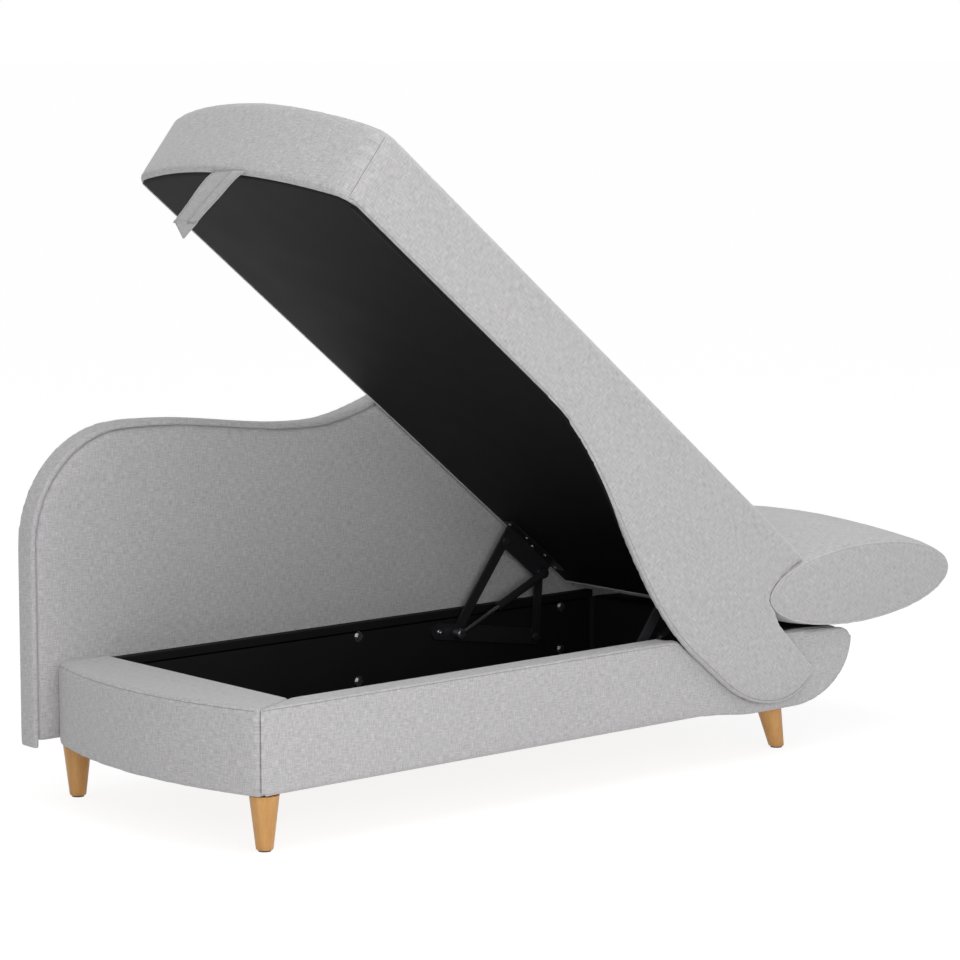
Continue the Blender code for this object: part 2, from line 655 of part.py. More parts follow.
def make_legs():
    """Four tapered wooden legs with their plates and glides. The head pair leans out."""
    top = LEG_HEIGHT - FACE_GAP - PLATE - FACE_GAP
    low = GLIDE + FACE_GAP
    ends = (("foot", FOOT_LEG_X, FOOT_LEG_Y, 0.0), ("head", HEAD_LEG_X, HEAD_LEG_Y, HEAD_LEG_SPLAY))
    for end, x, near_y, splay in ends:
        for side, y in (("near", near_y), ("far", FAR_LEG_Y)):
            leg = turned_mesh([(0.0, top), (LEG_TOP_RADIUS, top), (LEG_FOOT_RADIUS, low), (0.0, low)])
            lean = Matrix.Identity(4)
            lean[0][2] = -splay / top
            leg.transform(Matrix.Translation((splay, 0.0, 0.0)) @ lean)
            add_part(f"leg_{end}_{side}", leg, LEG_WOOD, ROOT, (x, y, 0.0))
            half = PLATE_SIZE / 2
            plate = box_mesh((-half, -half, top + FACE_GAP), (half, half, top + FACE_GAP + PLATE))
            add_part(f"leg_plate_{end}_{side}", plate, STEEL, ROOT, (x, y, 0.0), smooth=False)
            glide = turned_mesh([(0.0, GLIDE), (GLIDE_RADIUS, GLIDE), (GLIDE_RADIUS, 0.0), (0.0, 0.0)])
            add_part(f"glide_{end}_{side}", glide, FELT, ROOT, (x + splay, y, 0.0))


def backrest_outline():
    """The backrest seen from the near side, anticlockwise: straight foot, rounded head corner, two humps."""
    floor = FLOOR_OF_BOX
    foot_hump = (FOOT_HUMP_X, floor + FOOT_HUMP_Z)
    dip = (DIP_X, floor + DIP_Z)
    head_hump = (HEAD_HUMP_X, floor + HEAD_HUMP_Z)
    head_centre = (HEAD_HUMP_X, floor + HEAD_HUMP_Z - HEAD_CORNER_Z)
    head_round = arc(head_centre, BACK_RIGHT - HEAD_HUMP_X, HEAD_CORNER_Z, 0, 90, 2 * ARC_STEPS)
    top = wave(head_hump, dip) + wave(dip, foot_hump)[1:]
    foot_centre = (BACK_LEFT + FOOT_CORNER_X, floor + FOOT_HUMP_Z - FOOT_CORNER_Z)
    foot_round = arc(foot_centre, FOOT_CORNER_X, FOOT_CORNER_Z, 90, 180, ARC_STEPS)
    return [(BACK_LEFT, floor), (BACK_RIGHT, floor)] + head_round + top[1:] + foot_round


def bolt_places():
    columns = [BOLT_FIRST + BOLT_PITCH * index for index in range(BOLT_COLUMNS)]
    return [(x, FLOOR_OF_BOX + z) for x in columns for z in (BOLT_LOW, BOLT_HIGH)]


def bolt_cutter():
    """The holes for the backrest's bolts, through lining, far rail, front pad and board."""
    reach = BASE_DEPTH + BACK_PAD + BACK_BOARD
    radius = BOLT_RADIUS + FACE_GAP
    return side_mesh([circle(place, radius) for place in bolt_places()], FAR_INSIDE - CAP, reach + FACE_GAP)


def make_backrest():
    outline = backrest_outline()
    within = inset(outline, BACK_BAND + FACE_GAP)
    pad_front = BASE_DEPTH
    board_front = pad_front + BACK_PAD + FACE_GAP
    cover_front = board_front + BACK_BOARD + FACE_GAP
    back = cover_front + BACK_COVER
    band_inside = inset(outline, BACK_BAND)
    band = side_mesh([outline, band_inside], pad_front, back)
    below = box_mesh((BACK_LEFT + BACK_BAND, pad_front - CAP, FLOOR_OF_BOX - CAP),
                     (BACK_RIGHT - BACK_BAND, back + CAP, FLOOR_OF_BOX + 2 * BACK_BAND))
    add_part("backrest_band", cut(band, below), CLOTH, ROOT)
    pad = softened(side_mesh([within], pad_front, pad_front + BACK_PAD), BACK_SOFT)
    add_part("backrest_front_pad", cut(pad, bolt_cutter()), CLOTH, ROOT)
    board = cut(side_mesh([within], board_front, board_front + BACK_BOARD), bolt_cutter())
    add_part("backrest_board", board, TIMBER, ROOT, smooth=False)
    add_part("backrest_back_cover", side_mesh([within], cover_front, back), CLOTH, ROOT)


def make_backrest_bolts():
    """Hexagon bolts from inside the box, through the far rail into the backrest's board."""
    head_face = -BOLT_HEAD - WASHER - FACE_GAP
    washer_face = -WASHER - FACE_GAP
    length = BASE_DEPTH - FAR_INSIDE + BACK_PAD + BACK_BOARD
    shank = across_mesh([(0.0, length), (BOLT_RADIUS, length), (BOLT_RADIUS, -FACE_GAP),
                         (WASHER_RADIUS, -FACE_GAP), (WASHER_RADIUS, washer_face), (0.0, washer_face)])
    head = across_mesh([(0.0, washer_face + WASHER / 2), (BOLT_HEAD_RADIUS, washer_face + WASHER / 2),
                        (BOLT_HEAD_RADIUS, head_face), (0.0, head_face)], 6)
    bolt = joined(shank, head)
    bolt.materials.append(ZINC)
    for index, (x, z) in enumerate(bolt_places()):
        add_part(f"backrest_bolt_{index + 1}", bolt, ZINC, ROOT, (x, FAR_INSIDE, z), smooth=False)


def lid_plan(edge_inset, end):
    """Plan of a board of the lid, in from its sides and its curved foot end."""
    near = FACE_GAP - SIDE_GAP + edge_inset - DECK_INSET
    far = LID_FAR - edge_inset
    curve = [(lid_edge(y) + edge_inset, y) for y in spread(far, near, EDGE_STEPS)]
    return curve + [(end, near), (end, far)]


def cheek_outline():
    """Side view of the lid's near side, anticlockwise: S-shaped lower edge, rounded tail, upper edge."""
    drop = wave((CHEEK_START, 0.0), (CHEEK_DEEP, -CHEEK_DEPTH))
    tail_centre = (CHEEK_TIP - CHEEK_TAIL_X, -CHEEK_TIP_DEPTH)
    tail = arc(tail_centre, CHEEK_TAIL_X, CHEEK_DEPTH - CHEEK_TIP_DEPTH, -90, 0)
    tip = (CHEEK_TIP - CHEEK_TIP_DEPTH / 2, -CHEEK_TIP_DEPTH / 2)
    neck = wave((CHEEK_NECK_DROP, 0.0), (CHEEK_NECK, DECK_TOP), 5)
    return [(lid_edge(LID_NEAR), 0.0)] + drop + tail[1:] + [tip] + neck + [(lid_edge(LID_NEAR), DECK_TOP)]


def seat_mesh():
    """The seat cushion: a crowned pad with the curved foot end, its near and far sides drawn in."""
    model = bmesh.new()
    weight = model.edges.layers.float.new("bevel_weight_edge")
    bmesh.ops.create_grid(model, x_segments=SEAT_ALONG, y_segments=SEAT_ACROSS, size=0.5)
    low = DECK_TOP + FACE_GAP
    height = SEAT_EDGE - low
    middle = (LID_NEAR + LID_FAR) / 2
    half = (LID_FAR - LID_NEAR) / 2
    for vertex in model.verts:
        inward = max(1 - abs(2 * vertex.co.y), 0.0)
        y = middle + math.copysign(half * (1 - inward ** SEAT_CROWD), vertex.co.y)
        foot = lid_edge(y)
        vertex.co = (foot + (SEAT_END - foot) * (vertex.co.x + 0.5), y, low)
    upper = model.faces[:]
    reached = 0.0
    for share, draw in SEAT_LEVELS:
        ring = bmesh.ops.extrude_face_region(model, geom=upper)
        if reached > 0.0:
            bmesh.ops.delete(model, geom=upper, context="FACES")
        upper = [item for item in ring["geom"] if isinstance(item, bmesh.types.BMFace)]
        for vertex in {vertex for face in upper for vertex in face.verts}:
            sideways = (vertex.co.y - middle) / half
            vertex.co.z = low + height * share
            vertex.co.y = middle + sideways * (half - draw * SEAT_DRAW_IN)
        reached = share
    inner = set(upper)
    edges = {edge for face in upper for edge in face.edges}
    rim = [edge for edge in edges if not inner.issuperset(edge.link_faces)]
    for vertex in {vertex for face in upper for vertex in face.verts}:
        foot = lid_edge(vertex.co.y)
        lengthways = 2 * (vertex.co.x - foot) / (SEAT_END - foot) - 1
        sideways = (vertex.co.y - middle) / half
        vertex.co.z += SEAT_CROWN * (1 - SEAT_FALL * lengthways ** 4) * (1 - sideways ** 2)
    for edge in rim:
        edge[weight] = 1.0
    mesh = bpy.data.meshes.new("seat")
    model.to_mesh(mesh)
    model.free()
    item = bpy.data.objects.new("seat", mesh)
    bevel = item.modifiers.new("round_edge", "BEVEL")
    bevel.width = SEAT_ROUND
    bevel.segments = 3
    bevel.limit_method = "WEIGHT"
    return evaluated_mesh(item)


def roll_mesh(grown=0.0):
    """The headrest roll across the lid: a flattened barrel, its long axis tilted up towards the head."""
    near = LID_NEAR + ROLL_INSET - grown
    far = LID_FAR - ROLL_INSET + grown
    major = ROLL_MAJOR + grown
    third = ROLL_EDGE / 3
    profile = [(0.0, far), (major - ROLL_EDGE, far), (major - third, far - third)]
    profile += [(major, y) for y in spread(far - ROLL_EDGE, near + ROLL_EDGE, 10)]
    profile += [(major - third, near + third), (major - ROLL_EDGE, near), (0.0, near)]
    mesh = across_mesh(profile, ROLL_STEPS)
    mesh.transform(Matrix.Diagonal((1.0, 1.0, (ROLL_MINOR + grown) / major, 1.0)))
    for vertex in mesh.vertices:
        if vertex.co.z > 0.0:
            across = (2 * vertex.co.y - near - far) / (far - near)
            vertex.co.z *= 1 + ROLL_CROWN * (1 - across * across)
    tilt = Matrix.Rotation(-math.radians(ROLL_TILT), 4, "Y")
    mesh.transform(Matrix.Translation((ROLL_S, 0.0, ROLL_UP)) @ tilt)
    return mesh


def head_board_mesh(clearance=0.0):
    """The board inside the headrest roll, along its long axis, grown by a clearance."""
    half = HEAD_BOARD / 2 + clearance
    near = LID_NEAR + HEAD_BOARD_MARGIN - clearance
    far = LID_FAR - HEAD_BOARD_MARGIN + clearance
    mesh = box_mesh((-HEAD_BOARD_LOW - clearance, near, -half), (HEAD_BOARD_HIGH + clearance, far, half))
    tilt = Matrix.Rotation(-math.radians(ROLL_TILT), 4, "Y")
    mesh.transform(Matrix.Translation((ROLL_S, 0.0, ROLL_UP)) @ tilt)
    return mesh


def head_bracket_path():
    """Middle of the headrest bracket's steel: along the deck, then up under the headrest board."""
    level = DECK_TOP + FACE_GAP + HEAD_BRACKET / 2
    below = HEAD_BOARD / 2 + FACE_GAP + HEAD_BRACKET / 2
    under = Vector((ROLL_S, ROLL_UP)) - polar(below, ROLL_TILT + 90)
    bend = under + polar((level - under.y) / math.sin(math.radians(ROLL_TILT)), ROLL_TILT)
    return [(HEAD_BRACKET_START, level), tuple(bend), tuple(under + polar(-HEAD_BRACKET_REACH, ROLL_TILT))]


def head_bracket_mesh():
    outline = strip(head_bracket_path(), HEAD_BRACKET)
    return side_mesh([outline], LID_NEAR + HEAD_BRACKET_MARGIN, LID_FAR - HEAD_BRACKET_MARGIN)


def head_bracket_pocket():
    """Room for the bracket in the soft pieces, a little longer than the steel."""
    path = head_bracket_path()
    first, last = Vector(path[0]), Vector(path[2])
    path[0] = (first.x - FACE_GAP, first.y)
    path[2] = tuple(last + polar(FACE_GAP, ROLL_TILT))
    near = LID_NEAR + HEAD_BRACKET_MARGIN - FACE_GAP
    far = LID_FAR - HEAD_BRACKET_MARGIN + FACE_GAP
    return side_mesh([strip(path, HEAD_BRACKET + 2 * FACE_GAP)], near, far)


def make_lid():
    """Everything that lifts. Its pieces are drawn closed and hang on the pivot at C, which is turned open."""
    pivot = add_empty("lid_pivot", ROOT, C_OPEN.x, C_OPEN.y, -LID_OPEN)
    place = (-C_S, 0.0, -C_UP)
    deck = plan_mesh([lid_plan(DECK_INSET, DECK_END)], DECK_LOW, DECK_TOP)
    add_part("lid_deck", deck, TIMBER, pivot, place, smooth=False)
    lining = plan_mesh([lid_plan(UNDERLINING_INSET, DECK_END - UNDERLINING_INSET)], 0.0, UNDERLINING)
    add_part("lid_underlining", lining, LINING_CLOTH, pivot, place, smooth=False)
    seat = cut(seat_mesh(), roll_mesh(ROLL_GAP), head_bracket_pocket(), head_board_mesh(FACE_GAP))
    add_part("seat_cushion", seat, CLOTH, pivot, place)
    outline = cheek_outline()
    board_near = LID_NEAR + SIDE_PAD + FACE_GAP
    board = side_mesh([inset(outline, SIDE_BOARD_INSET)], board_near, board_near + SIDE_BOARD)
    add_part("lid_side_board", board, TIMBER, pivot, place, smooth=False)
    add_part("lid_side_pad", side_mesh([outline], LID_NEAR, LID_NEAR + SIDE_PAD), CLOTH, pivot, place)
    roll = cut(roll_mesh(), head_board_mesh(FACE_GAP), head_bracket_pocket())
    add_part("headrest_roll", roll, CLOTH, pivot, place)
    add_part("headrest_board", head_board_mesh(), TIMBER, pivot, place, smooth=False)
    add_part("headrest_bracket", head_bracket_mesh(), STEEL, pivot, place, smooth=False)
    make_strap(pivot, place)
    for side in SIDES:
        make_lid_bracket(side, pivot, place)


def make_strap(pivot, place):
    """The pull strap under the lid's foot edge: a doubled band that narrows to a folded point."""
    top = DECK_LOW - FACE_GAP
    low = top - STRAP_LENGTH
    fold = low + STRAP_POINT
    near = STRAP_NEAR + STRAP_LEAN
    outline = [(near, fold), (near + STRAP_TIP, low), (near + STRAP_WIDTH, fold),
               (STRAP_NEAR + STRAP_TOP, top), (STRAP_NEAR, top)]
    strap = flat_mesh([outline], STRAP)
    face = foot_edge(STRAP_NEAR + STRAP_TOP / 2) - STRAP / 2
    stand = Matrix(((0, 0, 1, face), (1, 0, 0, 0), (0, 1, 0, 0), (0, 0, 0, 1)))
    strap.transform(stand)
    add_part("pull_strap", strap, CLOTH, pivot, place, smooth=False)


def make_lid_bracket(side, pivot, place):
    """A flange under the deck with a lug down its outer edge for pivots C and D, and the pin at D."""
    near, far = layer(side, LUG_BACK, LUG_FACE)
    top = -FACE_GAP
    lug_top = top - LUG / 2
    lug = [(C_S - LUG_RADIUS, lug_top)] + arc(C_ON_LID, LUG_RADIUS, LUG_RADIUS, 180, 270)
    lug += arc(D_ON_LID, LUG_RADIUS, LUG_RADIUS, 270, 360) + [(D_S + LUG_RADIUS, lug_top)]
    plate = side_mesh([lug, circle(C_ON_LID, PIN_HOLE), circle(D_ON_LID, PIN_HOLE)], near, far)
    flange_near, flange_far = layer(side, LUG_BACK + LUG / 2, LUG_BACK + FLANGE_WIDTH)
    flange = box_mesh((C_S - 2 * LUG_RADIUS, flange_near, top - LUG), (D_S + 2 * LUG_RADIUS, flange_far, top))
    add_part(f"lid_bracket_{side}", joined(plate, flange), STEEL, pivot, place, smooth=False)
    pin_d = pin_mesh(side, [(LUG_BACK, 0.0), (LUG_FACE + FACE_GAP, PIN_RADIUS),
                            (LUG_FACE + FACE_GAP + PIN_HEAD, PIN_HEAD_RADIUS)])
    add_part(f"pin_d_{side}", pin_d, ZINC, pivot, (D_S - C_S, 0.0, 0.0))


def pin_mesh(side, steps_out):
    """A pivot pin: (layer, radius) steps from the wall inwards, each radius holding up to its layer."""
    profile = [(0.0, steps_out[0][0])]
    for (start, _), (end, radius) in zip(steps_out, steps_out[1:]):
        profile += [(radius, start), (radius, end)]
    profile.append((0.0, steps_out[-1][0]))
    sign = 1.0 if side == "near" else -1.0
    wall = NEAR_INSIDE if side == "near" else FAR_INSIDE
    points = [(radius, wall + sign * depth) for radius, depth in profile]
    return across_mesh(points if side == "far" else points[::-1])


def make_box_brackets(side):
    """The bracket on the box's wall that carries both arms, and the pins at A and B."""
    near, far = layer(side, BRACKET_BACK, BRACKET_FACE)
    tail = PIVOT_A + (PIVOT_A - PIVOT_B).normalized() * BRACKET_TAIL
    outline = capsule(tail, PIVOT_B, BRACKET_RADIUS)
    plate = side_mesh([outline, circle(PIVOT_A, PIN_HOLE), circle(PIVOT_B, PIN_HOLE)], near, far)
    add_part(f"box_bracket_{side}", plate, STEEL, ROOT, smooth=False)
    start = BRACKET_BACK + FACE_GAP
    pin_a = pin_mesh(side, [(start, 0.0), (ARM_FACE + FACE_GAP, PIN_RADIUS),
                            (EYE_BACK - FACE_GAP, PIN_HEAD_RADIUS), (EYE_FACE + FACE_GAP, PIN_RADIUS),
                            (EYE_FACE + FACE_GAP + PIN_HEAD, PIN_HEAD_RADIUS)])
    add_part(f"pin_a_{side}", pin_a, ZINC, ROOT, (PIVOT_A.x, 0.0, PIVOT_A.y))
    pin_b = pin_mesh(side, [(start, 0.0), (ARM_FACE + FACE_GAP, PIN_RADIUS),
                            (ARM_FACE + FACE_GAP + PIN_HEAD, PIN_HEAD_RADIUS)])
    add_part(f"pin_b_{side}", pin_b, ZINC, ROOT, (PIVOT_B.x, 0.0, PIVOT_B.y))


def make_arms(side, front_pivot, rear_pivot):
    """The long front arm and the short rear arm, flat bars with round ends, and the pin at C."""
    near, far = layer(side, ARM_BACK, ARM_FACE)
    tip = (FRONT_ARM_LENGTH, 0.0)
    bar = capsule((0.0, 0.0), tip, FRONT_ARM_RADIUS)
    front = side_mesh([bar, circle((0.0, 0.0), PIN_HOLE), circle(tip, PIN_HOLE)], near, far)
    add_part(f"front_arm_{side}", front, STEEL, front_pivot, smooth=False)
    bar = capsule((0.0, 0.0), (REAR_ARM_LENGTH, 0.0), REAR_ARM_RADIUS)
    rear = side_mesh([bar, circle((0.0, 0.0), PIN_HOLE)], near, far)
    add_part(f"rear_arm_{side}", rear, STEEL, rear_pivot, smooth=False)
    pin_c = pin_mesh(side, [(ARM_BACK + FACE_GAP, 0.0), (LUG_FACE + FACE_GAP, PIN_RADIUS),
                            (LUG_FACE + FACE_GAP + PIN_HEAD, PIN_HEAD_RADIUS)])
    add_part(f"pin_c_{side}", pin_c, ZINC, front_pivot, (FRONT_ARM_LENGTH, 0.0, 0.0))


def make_gas_spring(side, strut_pivot, slide):
    """The gas spring from A to D: a rod with an eye, and a bored cylinder that slides on it."""
    middle = sum(layer(side, STRUT_MIDDLE, STRUT_MIDDLE)) / 2
    near, far = layer(side, EYE_BACK, EYE_FACE)
    eye = side_mesh([circle((0.0, 0.0), EYE_RADIUS), circle((0.0, 0.0), PIN_HOLE)], near, far)
    root = PIN_HEAD_RADIUS + RUN_GAP
    rod = lengthwise_mesh([(0.0, ROD_LENGTH), (ROD_RADIUS, ROD_LENGTH), (ROD_RADIUS, root), (0.0, root)])
    rod.transform(Matrix.Translation((0.0, middle, 0.0)))
    add_part(f"gas_rod_{side}", joined(eye, rod), ZINC, strut_pivot)
    bore = ROD_RADIUS + FACE_GAP
    neck = CYLINDER_LENGTH - EYE_RADIUS / 2
    tube = lengthwise_mesh([(0.0, neck), (CYLINDER_RADIUS, neck), (CYLINDER_RADIUS, 0.0), (bore, 0.0),
                            (bore, CYLINDER_BORE), (0.0, CYLINDER_BORE)])
    tube.transform(Matrix.Translation((0.0, middle, 0.0)))
    end_eye = side_mesh([circle((CYLINDER_LENGTH, 0.0), EYE_RADIUS)], near, far)
    add_part(f"gas_cylinder_{side}", joined(tube, end_eye), STEEL, slide)


def make_linkage():
    front_pivot = add_empty("front_arm_pivot", ROOT, PIVOT_A.x, PIVOT_A.y, ARM_OPEN)
    rear_pivot = add_empty("rear_arm_pivot", ROOT, PIVOT_B.x, PIVOT_B.y, REAR_ARM_OPEN)
    strut_pivot = add_empty("gas_spring_pivot", ROOT, PIVOT_A.x, PIVOT_A.y, STRUT_OPEN)
    slide = add_empty("gas_spring_slide", strut_pivot, STRUT_LENGTH - CYLINDER_LENGTH)
    for side in SIDES:
        make_box_brackets(side)
        make_arms(side, front_pivot, rear_pivot)
        make_gas_spring(side, strut_pivot, slide)


def centre_on_origin():
    """Moves the whole piece so that the origin lies on the floor under the middle of its box."""
    bpy.context.view_layer.update()
    graph = bpy.context.evaluated_depsgraph_get()
    corners = []
    for item in PARTS.objects:
        if item.type == "MESH":
            shape = item.evaluated_get(graph)
            corners += [shape.matrix_world @ vertex.co for vertex in shape.data.vertices]
    for axis in range(2):
        values = [corner[axis] for corner in corners]
        ROOT.location[axis] = -(min(values) + max(values)) / 2
    bpy.context.view_layer.update()


make_frame()
make_lining()
make_near_cover()
make_foot_cover()
make_head_cover()
make_legs()
make_backrest()
make_backrest_bolts()
make_lid()
make_linkage()
centre_on_origin()
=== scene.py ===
"""Storage chaise longue with its seat lifted: cloth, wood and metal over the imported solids. Metres, +Z up."""
import json
import math

import bmesh
import bpy
import numpy as np
from mathutils import Matrix, Vector
from mathutils.bvhtree import BVHTree
from mathutils.kdtree import KDTree

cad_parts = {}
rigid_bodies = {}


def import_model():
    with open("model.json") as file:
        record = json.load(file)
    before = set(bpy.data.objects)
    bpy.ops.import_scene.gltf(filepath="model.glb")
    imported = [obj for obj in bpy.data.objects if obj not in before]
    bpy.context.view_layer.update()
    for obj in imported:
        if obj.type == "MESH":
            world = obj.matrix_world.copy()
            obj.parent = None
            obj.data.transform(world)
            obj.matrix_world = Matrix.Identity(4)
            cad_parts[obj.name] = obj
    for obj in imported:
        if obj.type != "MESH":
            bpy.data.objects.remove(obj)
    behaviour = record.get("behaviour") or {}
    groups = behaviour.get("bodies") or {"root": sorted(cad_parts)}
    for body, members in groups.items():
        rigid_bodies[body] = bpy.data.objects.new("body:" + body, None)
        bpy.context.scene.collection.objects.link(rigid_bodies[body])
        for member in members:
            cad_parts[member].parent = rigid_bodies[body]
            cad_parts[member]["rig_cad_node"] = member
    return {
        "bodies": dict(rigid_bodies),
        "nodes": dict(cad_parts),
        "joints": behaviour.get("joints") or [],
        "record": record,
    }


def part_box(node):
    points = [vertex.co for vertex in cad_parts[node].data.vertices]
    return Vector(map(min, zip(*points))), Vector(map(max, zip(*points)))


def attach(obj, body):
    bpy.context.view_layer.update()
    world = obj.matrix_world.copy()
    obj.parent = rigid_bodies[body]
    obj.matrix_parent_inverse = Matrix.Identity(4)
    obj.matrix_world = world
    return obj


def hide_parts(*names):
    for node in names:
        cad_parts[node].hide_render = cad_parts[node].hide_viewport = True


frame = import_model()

SCENE = bpy.context.scene
NODES = frame["nodes"]
BODIES = list(frame["bodies"].values())
for extra in [item for item in SCENE.objects if "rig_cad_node" not in item and item not in BODIES]:
    bpy.data.objects.remove(extra)
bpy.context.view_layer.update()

# Box, measured from its near foot corner and the floor
LEG_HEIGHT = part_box("base_board")[0].z
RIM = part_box("foot_end_cover")[1].z
RAIL_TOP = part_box("near_rail")[1].z
FAR_RAIL_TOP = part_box("far_rail")[1].z
BASE_LENGTH = 1.615
BASE_DEPTH = 0.646
FOOT_BULGE = 0.055           # how far the foot end curves out
FOOT_SLANT = 0.012           # how far the far foot corner leads the near one
LID_OVERHANG = 0.008
FOOT_WALL = 0.117            # inside of the foot wall
LINING_NEAR = 0.0487
RAIL_NEAR = 0.0263           # near rail's outer face
STRIP = 0.012                # what is left of the near side under the dip
DIP_FILL = 0.006             # how much the padding stands over the dip's edge
HEAD_ROUND_X = 0.175         # the rounded underside of the head end
HEAD_ROUND_Z = 0.120
HEAD_SAG = 0.012             # how much lower the underside is there
SAG_START = 1.170
SAG_FULL = 1.320
DIP_HEAD_FOOT = 1.345        # head side of the dip, at its foot and at its top
DIP_HEAD_TOP = 1.385
LINING = 0.003
LINING_CORNER = 0.014
FLAP = 0.0012                # thickness of the lining cloth, and of its laps over the rails

# Legs
LEG_TOP_RADIUS = 0.029
LEG_FOOT_RADIUS = 0.0165
LEG_EDGE = 0.0025
LEG_STEPS = 64

# Lid, measured from its near foot corner at its underside, as it lies when closed
LID_OPEN = 38.74             # how far the lid is turned, in degrees
C_S = 1.246                  # its hinge, along the lid and above its underside
C_UP = -0.033
D_S = 1.376
LID_NEAR = -0.0183
LID_FAR = 0.639
LID_CORNER = 0.040           # rounding of the two foot corners
SEAT_EDGE = 0.160
SEAT_ROUND = 0.012
SEAT_STRAIGHT = 1.000        # how far the seat's plain foot part reaches
UNDERLINING = 0.0027
UNDERSIDE = 0.0014           # where the cloth turned under the lid lies
TRIM_FROM = 0.735            # where the cheek's edge has left the lid's underside
FULL_TRIM = 0.860            # and where it is well clear of it
DECK_END = 1.430
LINING_END = 1.466           # hem of the black cloth under the lid
CHEEK_START = 0.643
CHEEK_DEEP = 1.337
CHEEK_DEPTH = 0.184
CHEEK_TIP = 1.656
CHEEK_TAIL_X = 0.216
CHEEK_TIP_DEPTH = 0.025
CHEEK_NECK = 1.455           # where the tail's upper edge leaves the seat, and where it is level
CHEEK_DROP = 1.510
NECK_TOP = 0.019
CHEEK_LAP = 0.004            # how far the near side reaches up behind the lifted cheek
LINED_TO = 1.030             # where the black cloth under the cheek ends
ROLL_S = 1.664
ROLL_UP = 0.213
ROLL_TILT = 40.0
ROLL_MAJOR = 0.287
ROLL_MINOR = 0.086
ROLL_INSET = 0.002
ROLL_GAP = 1.015             # the hollow in the seat, as a share of the roll
STRAP_NEAR = 0.230           # pull strap's near edge at the lid
STRAP_TOP = 0.100            # its width at the lid
STRAP_WIDTH = 0.075          # its width at the fold
STRAP_LEAN = 0.045
STRAP_LENGTH = 0.164
STRAP_POINT = 0.036
STRAP_TIP = 0.012
STRAP_LAP = 0.40             # share of the width that the near layer covers
STRAP_OUT = 0.0028           # how far it hangs out, clear of the foot end when closed

# Padding of each piece: size of its mesh, how far it is drawn in, and how far it may rise
SEAT_PADDING = (0.0080, 0.0020, 0.0050)
ROLL_PADDING = (0.0074, 0.0020, 0.0050)
NEAR_PADDING = (0.0070, 0.0020, 0.0025)
FOOT_PADDING = (0.0070, 0.0020, 0.0030)
HEAD_PADDING = (0.0090, 0.0020, 0.0035)
BACK_PADDING = (0.0100, 0.0020, 0.0060)
BAND_PADDING = (0.0060, 0.0010, 0.0020)

# Cloth
YARN = 0.0024                # distance between two yarns
FRAMES = 20                  # steps of the swelling
THREAD = 0.0006              # radius of a sewn line
WELT = 0.0022                # radius of the headrest's welt
SEAM_IN = 0.006              # sewn lines, in from the edge beside them

# Camera, from the near foot corner at the underside of the box
CAMERA_FROM_CORNER = (-3.686, -4.838, 1.381)
CAMERA_AIM = (0.6530, 0.7464, -0.1281)
LENS = 125.19

LINING_LOW, LINING_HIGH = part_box("storage_lining")
BASE = Matrix.Translation((LINING_LOW.x - FOOT_WALL, LINING_LOW.y - LINING_NEAR, 0.0))
HINGES = {joint["name"]: Vector(joint["pos_m"]) for joint in frame["joints"]}
LID_HINGE = Matrix.Translation((HINGES["lid_hinge"].x, BASE.translation.y, HINGES["lid_hinge"].z))
LID_TURN = Matrix.Rotation(math.radians(LID_OPEN), 4, "Y")
LID = LID_HINGE @ LID_TURN @ Matrix.Translation((-C_S, 0.0, -C_UP))


# Materials

class Wire:
    """A socket of a material being built, with arithmetic."""

    def __init__(self, finish, socket):
        self.finish = finish
        self.socket = socket

    def maths(self, operation, *others):
        return self.finish.node("ShaderNodeMath", {"operation": operation}, (self, *others))

    def __add__(self, other):
        return self.maths("ADD", other)

    def __radd__(self, other):
        return self.maths("ADD", other)

    def __sub__(self, other):
        return self.maths("SUBTRACT", other)

    def __rsub__(self, other):
        return self.maths("MULTIPLY_ADD", -1.0, other)

    def __mul__(self, other):
        return self.maths("MULTIPLY", other)

    def __rmul__(self, other):
        return self.maths("MULTIPLY", other)


class Finish:
    """A material being built from nodes."""

    def __init__(self, name):
        self.material = bpy.data.materials.new(name)
        self.material.use_nodes = True
        self.tree = self.material.node_tree
        self.tree.nodes.clear()
        self.output = self.tree.nodes.new("ShaderNodeOutputMaterial")

    def node(self, kind, settings=None, inputs=(), output=0):
        """Adds any node: its settings, its inputs by name or in order, and the output to carry on from."""
        made = self.tree.nodes.new(kind)
        for key, value in (settings or {}).items():
            setattr(made, key, value)
        pairs = inputs.items() if isinstance(inputs, dict) else enumerate(inputs)
        for key, value in pairs:
            if isinstance(value, Wire):
                self.tree.links.new(value.socket, made.inputs[key])
            else:
                made.inputs[key].default_value = value
        return Wire(self, made.outputs[output])

    def mix(self, share, first, second):
        """A colour between two, by a share."""
        return self.node("ShaderNodeMix", {"data_type": "RGBA"}, {0: share, 6: first, 7: second}, 2)

    def parts(self, vector):
        return [self.node("ShaderNodeSeparateXYZ", inputs=(vector,), output=axis) for axis in "XYZ"]

    def noise(self, x, y, z=0.0, detail=2.0):
        place = self.node("ShaderNodeCombineXYZ", inputs=(x, y, z))
        return self.node("ShaderNodeTexNoise", inputs={"Vector": place, "Scale": 1.0, "Detail": detail})

    def bump(self, height, distance, strength=1.0):
        inputs = {"Height": height, "Distance": distance, "Strength": strength}
        return self.node("ShaderNodeBump", inputs=inputs)

    def surface(self, **inputs):
        """Ends the material in a plain surface with these inputs, and gives it back."""
        named = {key.replace("_", " "): value for key, value in inputs.items()}
        shader = self.node("ShaderNodeBsdfPrincipled", inputs=named)
        self.tree.links.new(shader.socket, self.output.inputs["Surface"])
        return self.material


def grey(level):
    return (level, level * 0.982, level, 1.0)


